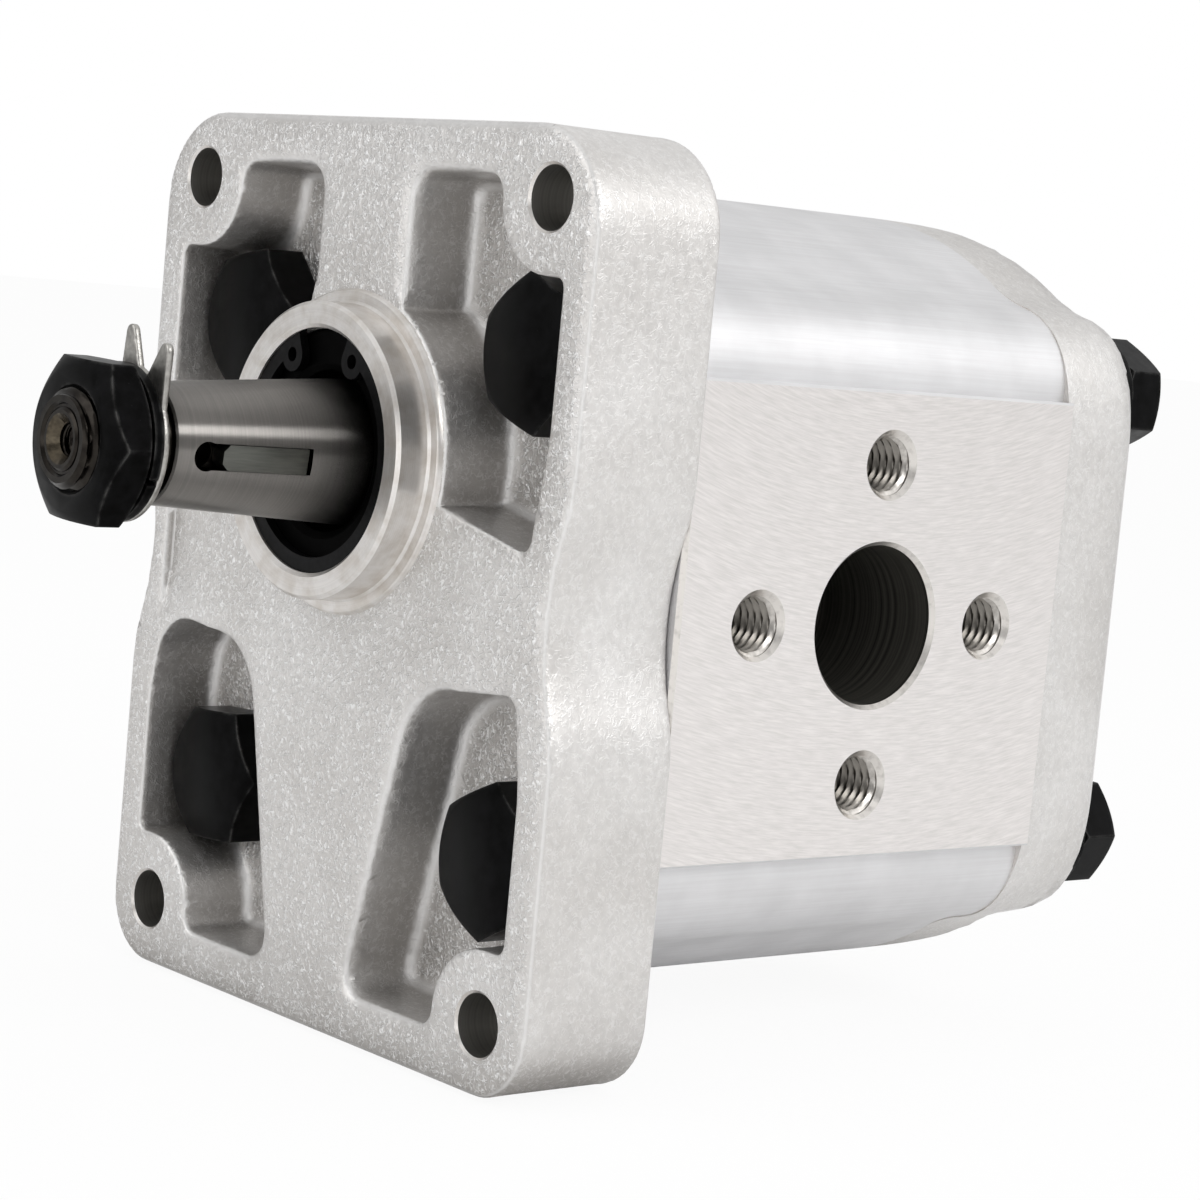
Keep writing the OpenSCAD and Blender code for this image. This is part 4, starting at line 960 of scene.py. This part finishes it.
# Drawn key steel: mid grey, with lengthwise drawing marks about 0.25 mm apart.
key_steel, tree, shader, place = textured("drawn_key_steel")
lengthwise = add(tree, "ShaderNodeMapping", {"Scale": (1.0, 0.06, 1.0), "Vector": place})
lines = noise(tree, lengthwise.outputs[0], 4.0, 3.0)
tone = ramp(tree, lines, (0.30, "5c5d59"), (0.70, "686964"))
bump = relief_of(tree, lines, 0.03, 0.25)
feed(tree, shader, {"Base Color": tone, "Normal": bump, "Metallic": 1.0, "Roughness": 0.35})
dress(key, (key_steel,))
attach(key, "drive_shaft")
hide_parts("shaft_key")

# Tab washer. Stamped from 0.8 mm sheet; two pointed tabs stand up behind the nut to lock it.
TAB_Y0, TAB_Y1, TAB_RING_R, TAB_BORE_R = -31.8, -31.0, 9.35, 6.15
TABS, TAB_ROOT_R, TAB_APEX_R, TAB_TIP_R = ((97.6, 90.6, 70.6), (61.9, 58.4, 23.0)), 8.9, 17.1, 1.0
SHEET_SPACING, SHEET_EDGE, SHEET_GRID, SHEET_TOP, TAB_ROOT_TURN = 0.15, 0.18, 10.5, 15.2, 0.1
low, high = (-SHEET_GRID, TAB_Y0 - 0.6, -SHEET_GRID), (SHEET_GRID, TAB_Y1 + 0.6, SHEET_TOP)
x, y, z = grid(low, high, SHEET_SPACING)
across, upward = seen_along_y(x, z)
outline = np.hypot(across, upward) - TAB_RING_R
for before, peak, after in TABS:
    blade = rounded(((*polar(TAB_ROOT_R, before), TAB_ROOT_TURN), (*polar(TAB_APEX_R, peak), TAB_TIP_R),
                     (*polar(TAB_ROOT_R, after), TAB_ROOT_TURN)))
    outline = np.minimum(outline, distance_to(blade, across, upward))
outline = np.maximum(outline, TAB_BORE_R - np.hypot(across, upward))[:, None, :]
middle = (TAB_Y0 + TAB_Y1) / 2
sheet = both(outline, np.abs(y - middle) - (TAB_Y1 - TAB_Y0) / 2, SHEET_EDGE)
tab_washer = skin("tab_washer_sheet", sheet, low, SHEET_SPACING, flatten=0.05)

# Bright stamped steel: satin zinc with a slight warm tint and fine rolling marks.
stamped_steel = mottled("stamped_zinc_steel", 1.5, 4.0, "9a9894", "c0beb9",
                        {"Metallic": 1.0, "Roughness": 0.34}, relief=(0.03, 0.2))
dress(tab_washer, (stamped_steel,), crease=180.0)
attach(tab_washer, "drive_shaft")
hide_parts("tab_washer")

# Spring washer and shaft nut, both blacked: the nut is an M12 with both faces bevelled.
SHAFT_NUT_AF, SHAFT_NUT_Y0, SHAFT_NUT_Y1, SHAFT_NUT_TURN = 18.8, -38.5, -33.0, 2
nut = hexagon("shaft_nut_black", SHAFT_NUT_AF, SHAFT_NUT_Y0, SHAFT_NUT_Y1, True, True,
              bore=5.6, edge=0.5, face=0.455)
nut.data.transform(Matrix.Rotation(math.radians(SHAFT_NUT_TURN), 4, "Y"))
spring = cad_copy("spring_washer_black", "spring_washer")
for piece, node in ((nut, "shaft_nut"), (spring, "spring_washer")):
    dress(piece, (black_oxide,))
    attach(piece, "drive_shaft")
    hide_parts(node)

# Shaft seal and what holds it: a nitrile lip seal on a steel cup with a garter spring, behind a
# phosphated retaining ring with two drilled lugs.
rubber = mottled("nitrile_rubber", 0.8, 5.0, "010101", "030303",
                 {"Roughness": 0.5, "Specular IOR Level": 0.02}, relief=(0.05, 0.2))
phosphated = mottled("phosphated_spring_steel", 1.2, 5.0, "0c0c0d", "171718",
                     {"Metallic": 0.5, "Roughness": 0.38, "Specular IOR Level": 0.1})
for name, node, material, slot in (("shaft_seal_rubber", "shaft_seal", rubber, "seal_rubber"),
                                   ("retaining_ring_steel", "seal_circlip", phosphated, "spring_steel")):
    piece = cad_copy(name, node)
    dress(piece, (material,), crease=30.0)
    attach(piece, "housing")
    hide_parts(node)

# Inside pieces that only show through the ports or not at all keep their CAD shape and get the
# finish of the real ones: alloy bearing blocks, bronze-backed liners, rubber and plastic seals.
block_alloy = mottled("bearing_block_alloy", 1.6, 3.0, "a5a49f", "c3c2bd", {"Metallic": 1.0, "Roughness": 0.35})
bronze = mottled("bronze_liner_strip", 2.0, 3.0, "8a6a3e", "b08b58", {"Metallic": 1.0, "Roughness": 0.4})
plastic = mottled("moulded_ptfe", 0.6, 2.0, "d8d2c2", "e8e3d6", {"Roughness": 0.5})
inside = {"front_bearing_block": block_alloy, "rear_bearing_block": block_alloy, "front_bearing_liners": bronze,
          "rear_bearing_liners": bronze, "seal_case": phosphated, "garter_spring": phosphated,
          "front_body_seal": rubber, "rear_body_seal": rubber, "front_pressure_seal": rubber,
          "rear_pressure_seal": rubber, "front_backup_ring": plastic, "rear_backup_ring": plastic,
          "front_dowels": key_steel, "rear_dowels": key_steel}
for node, material in inside.items():
    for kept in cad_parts[node].material_slots:
        kept.material = material

# Driven gear shaft. The second gear, ground all over, turns below the first and seldom shows.
driven = cad_copy("driven_shaft_ground", "driven_gear_shaft")
dress(driven, (ground_steel,), crease=30.0)
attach(driven, "driven_shaft")
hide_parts("driven_gear_shaft")
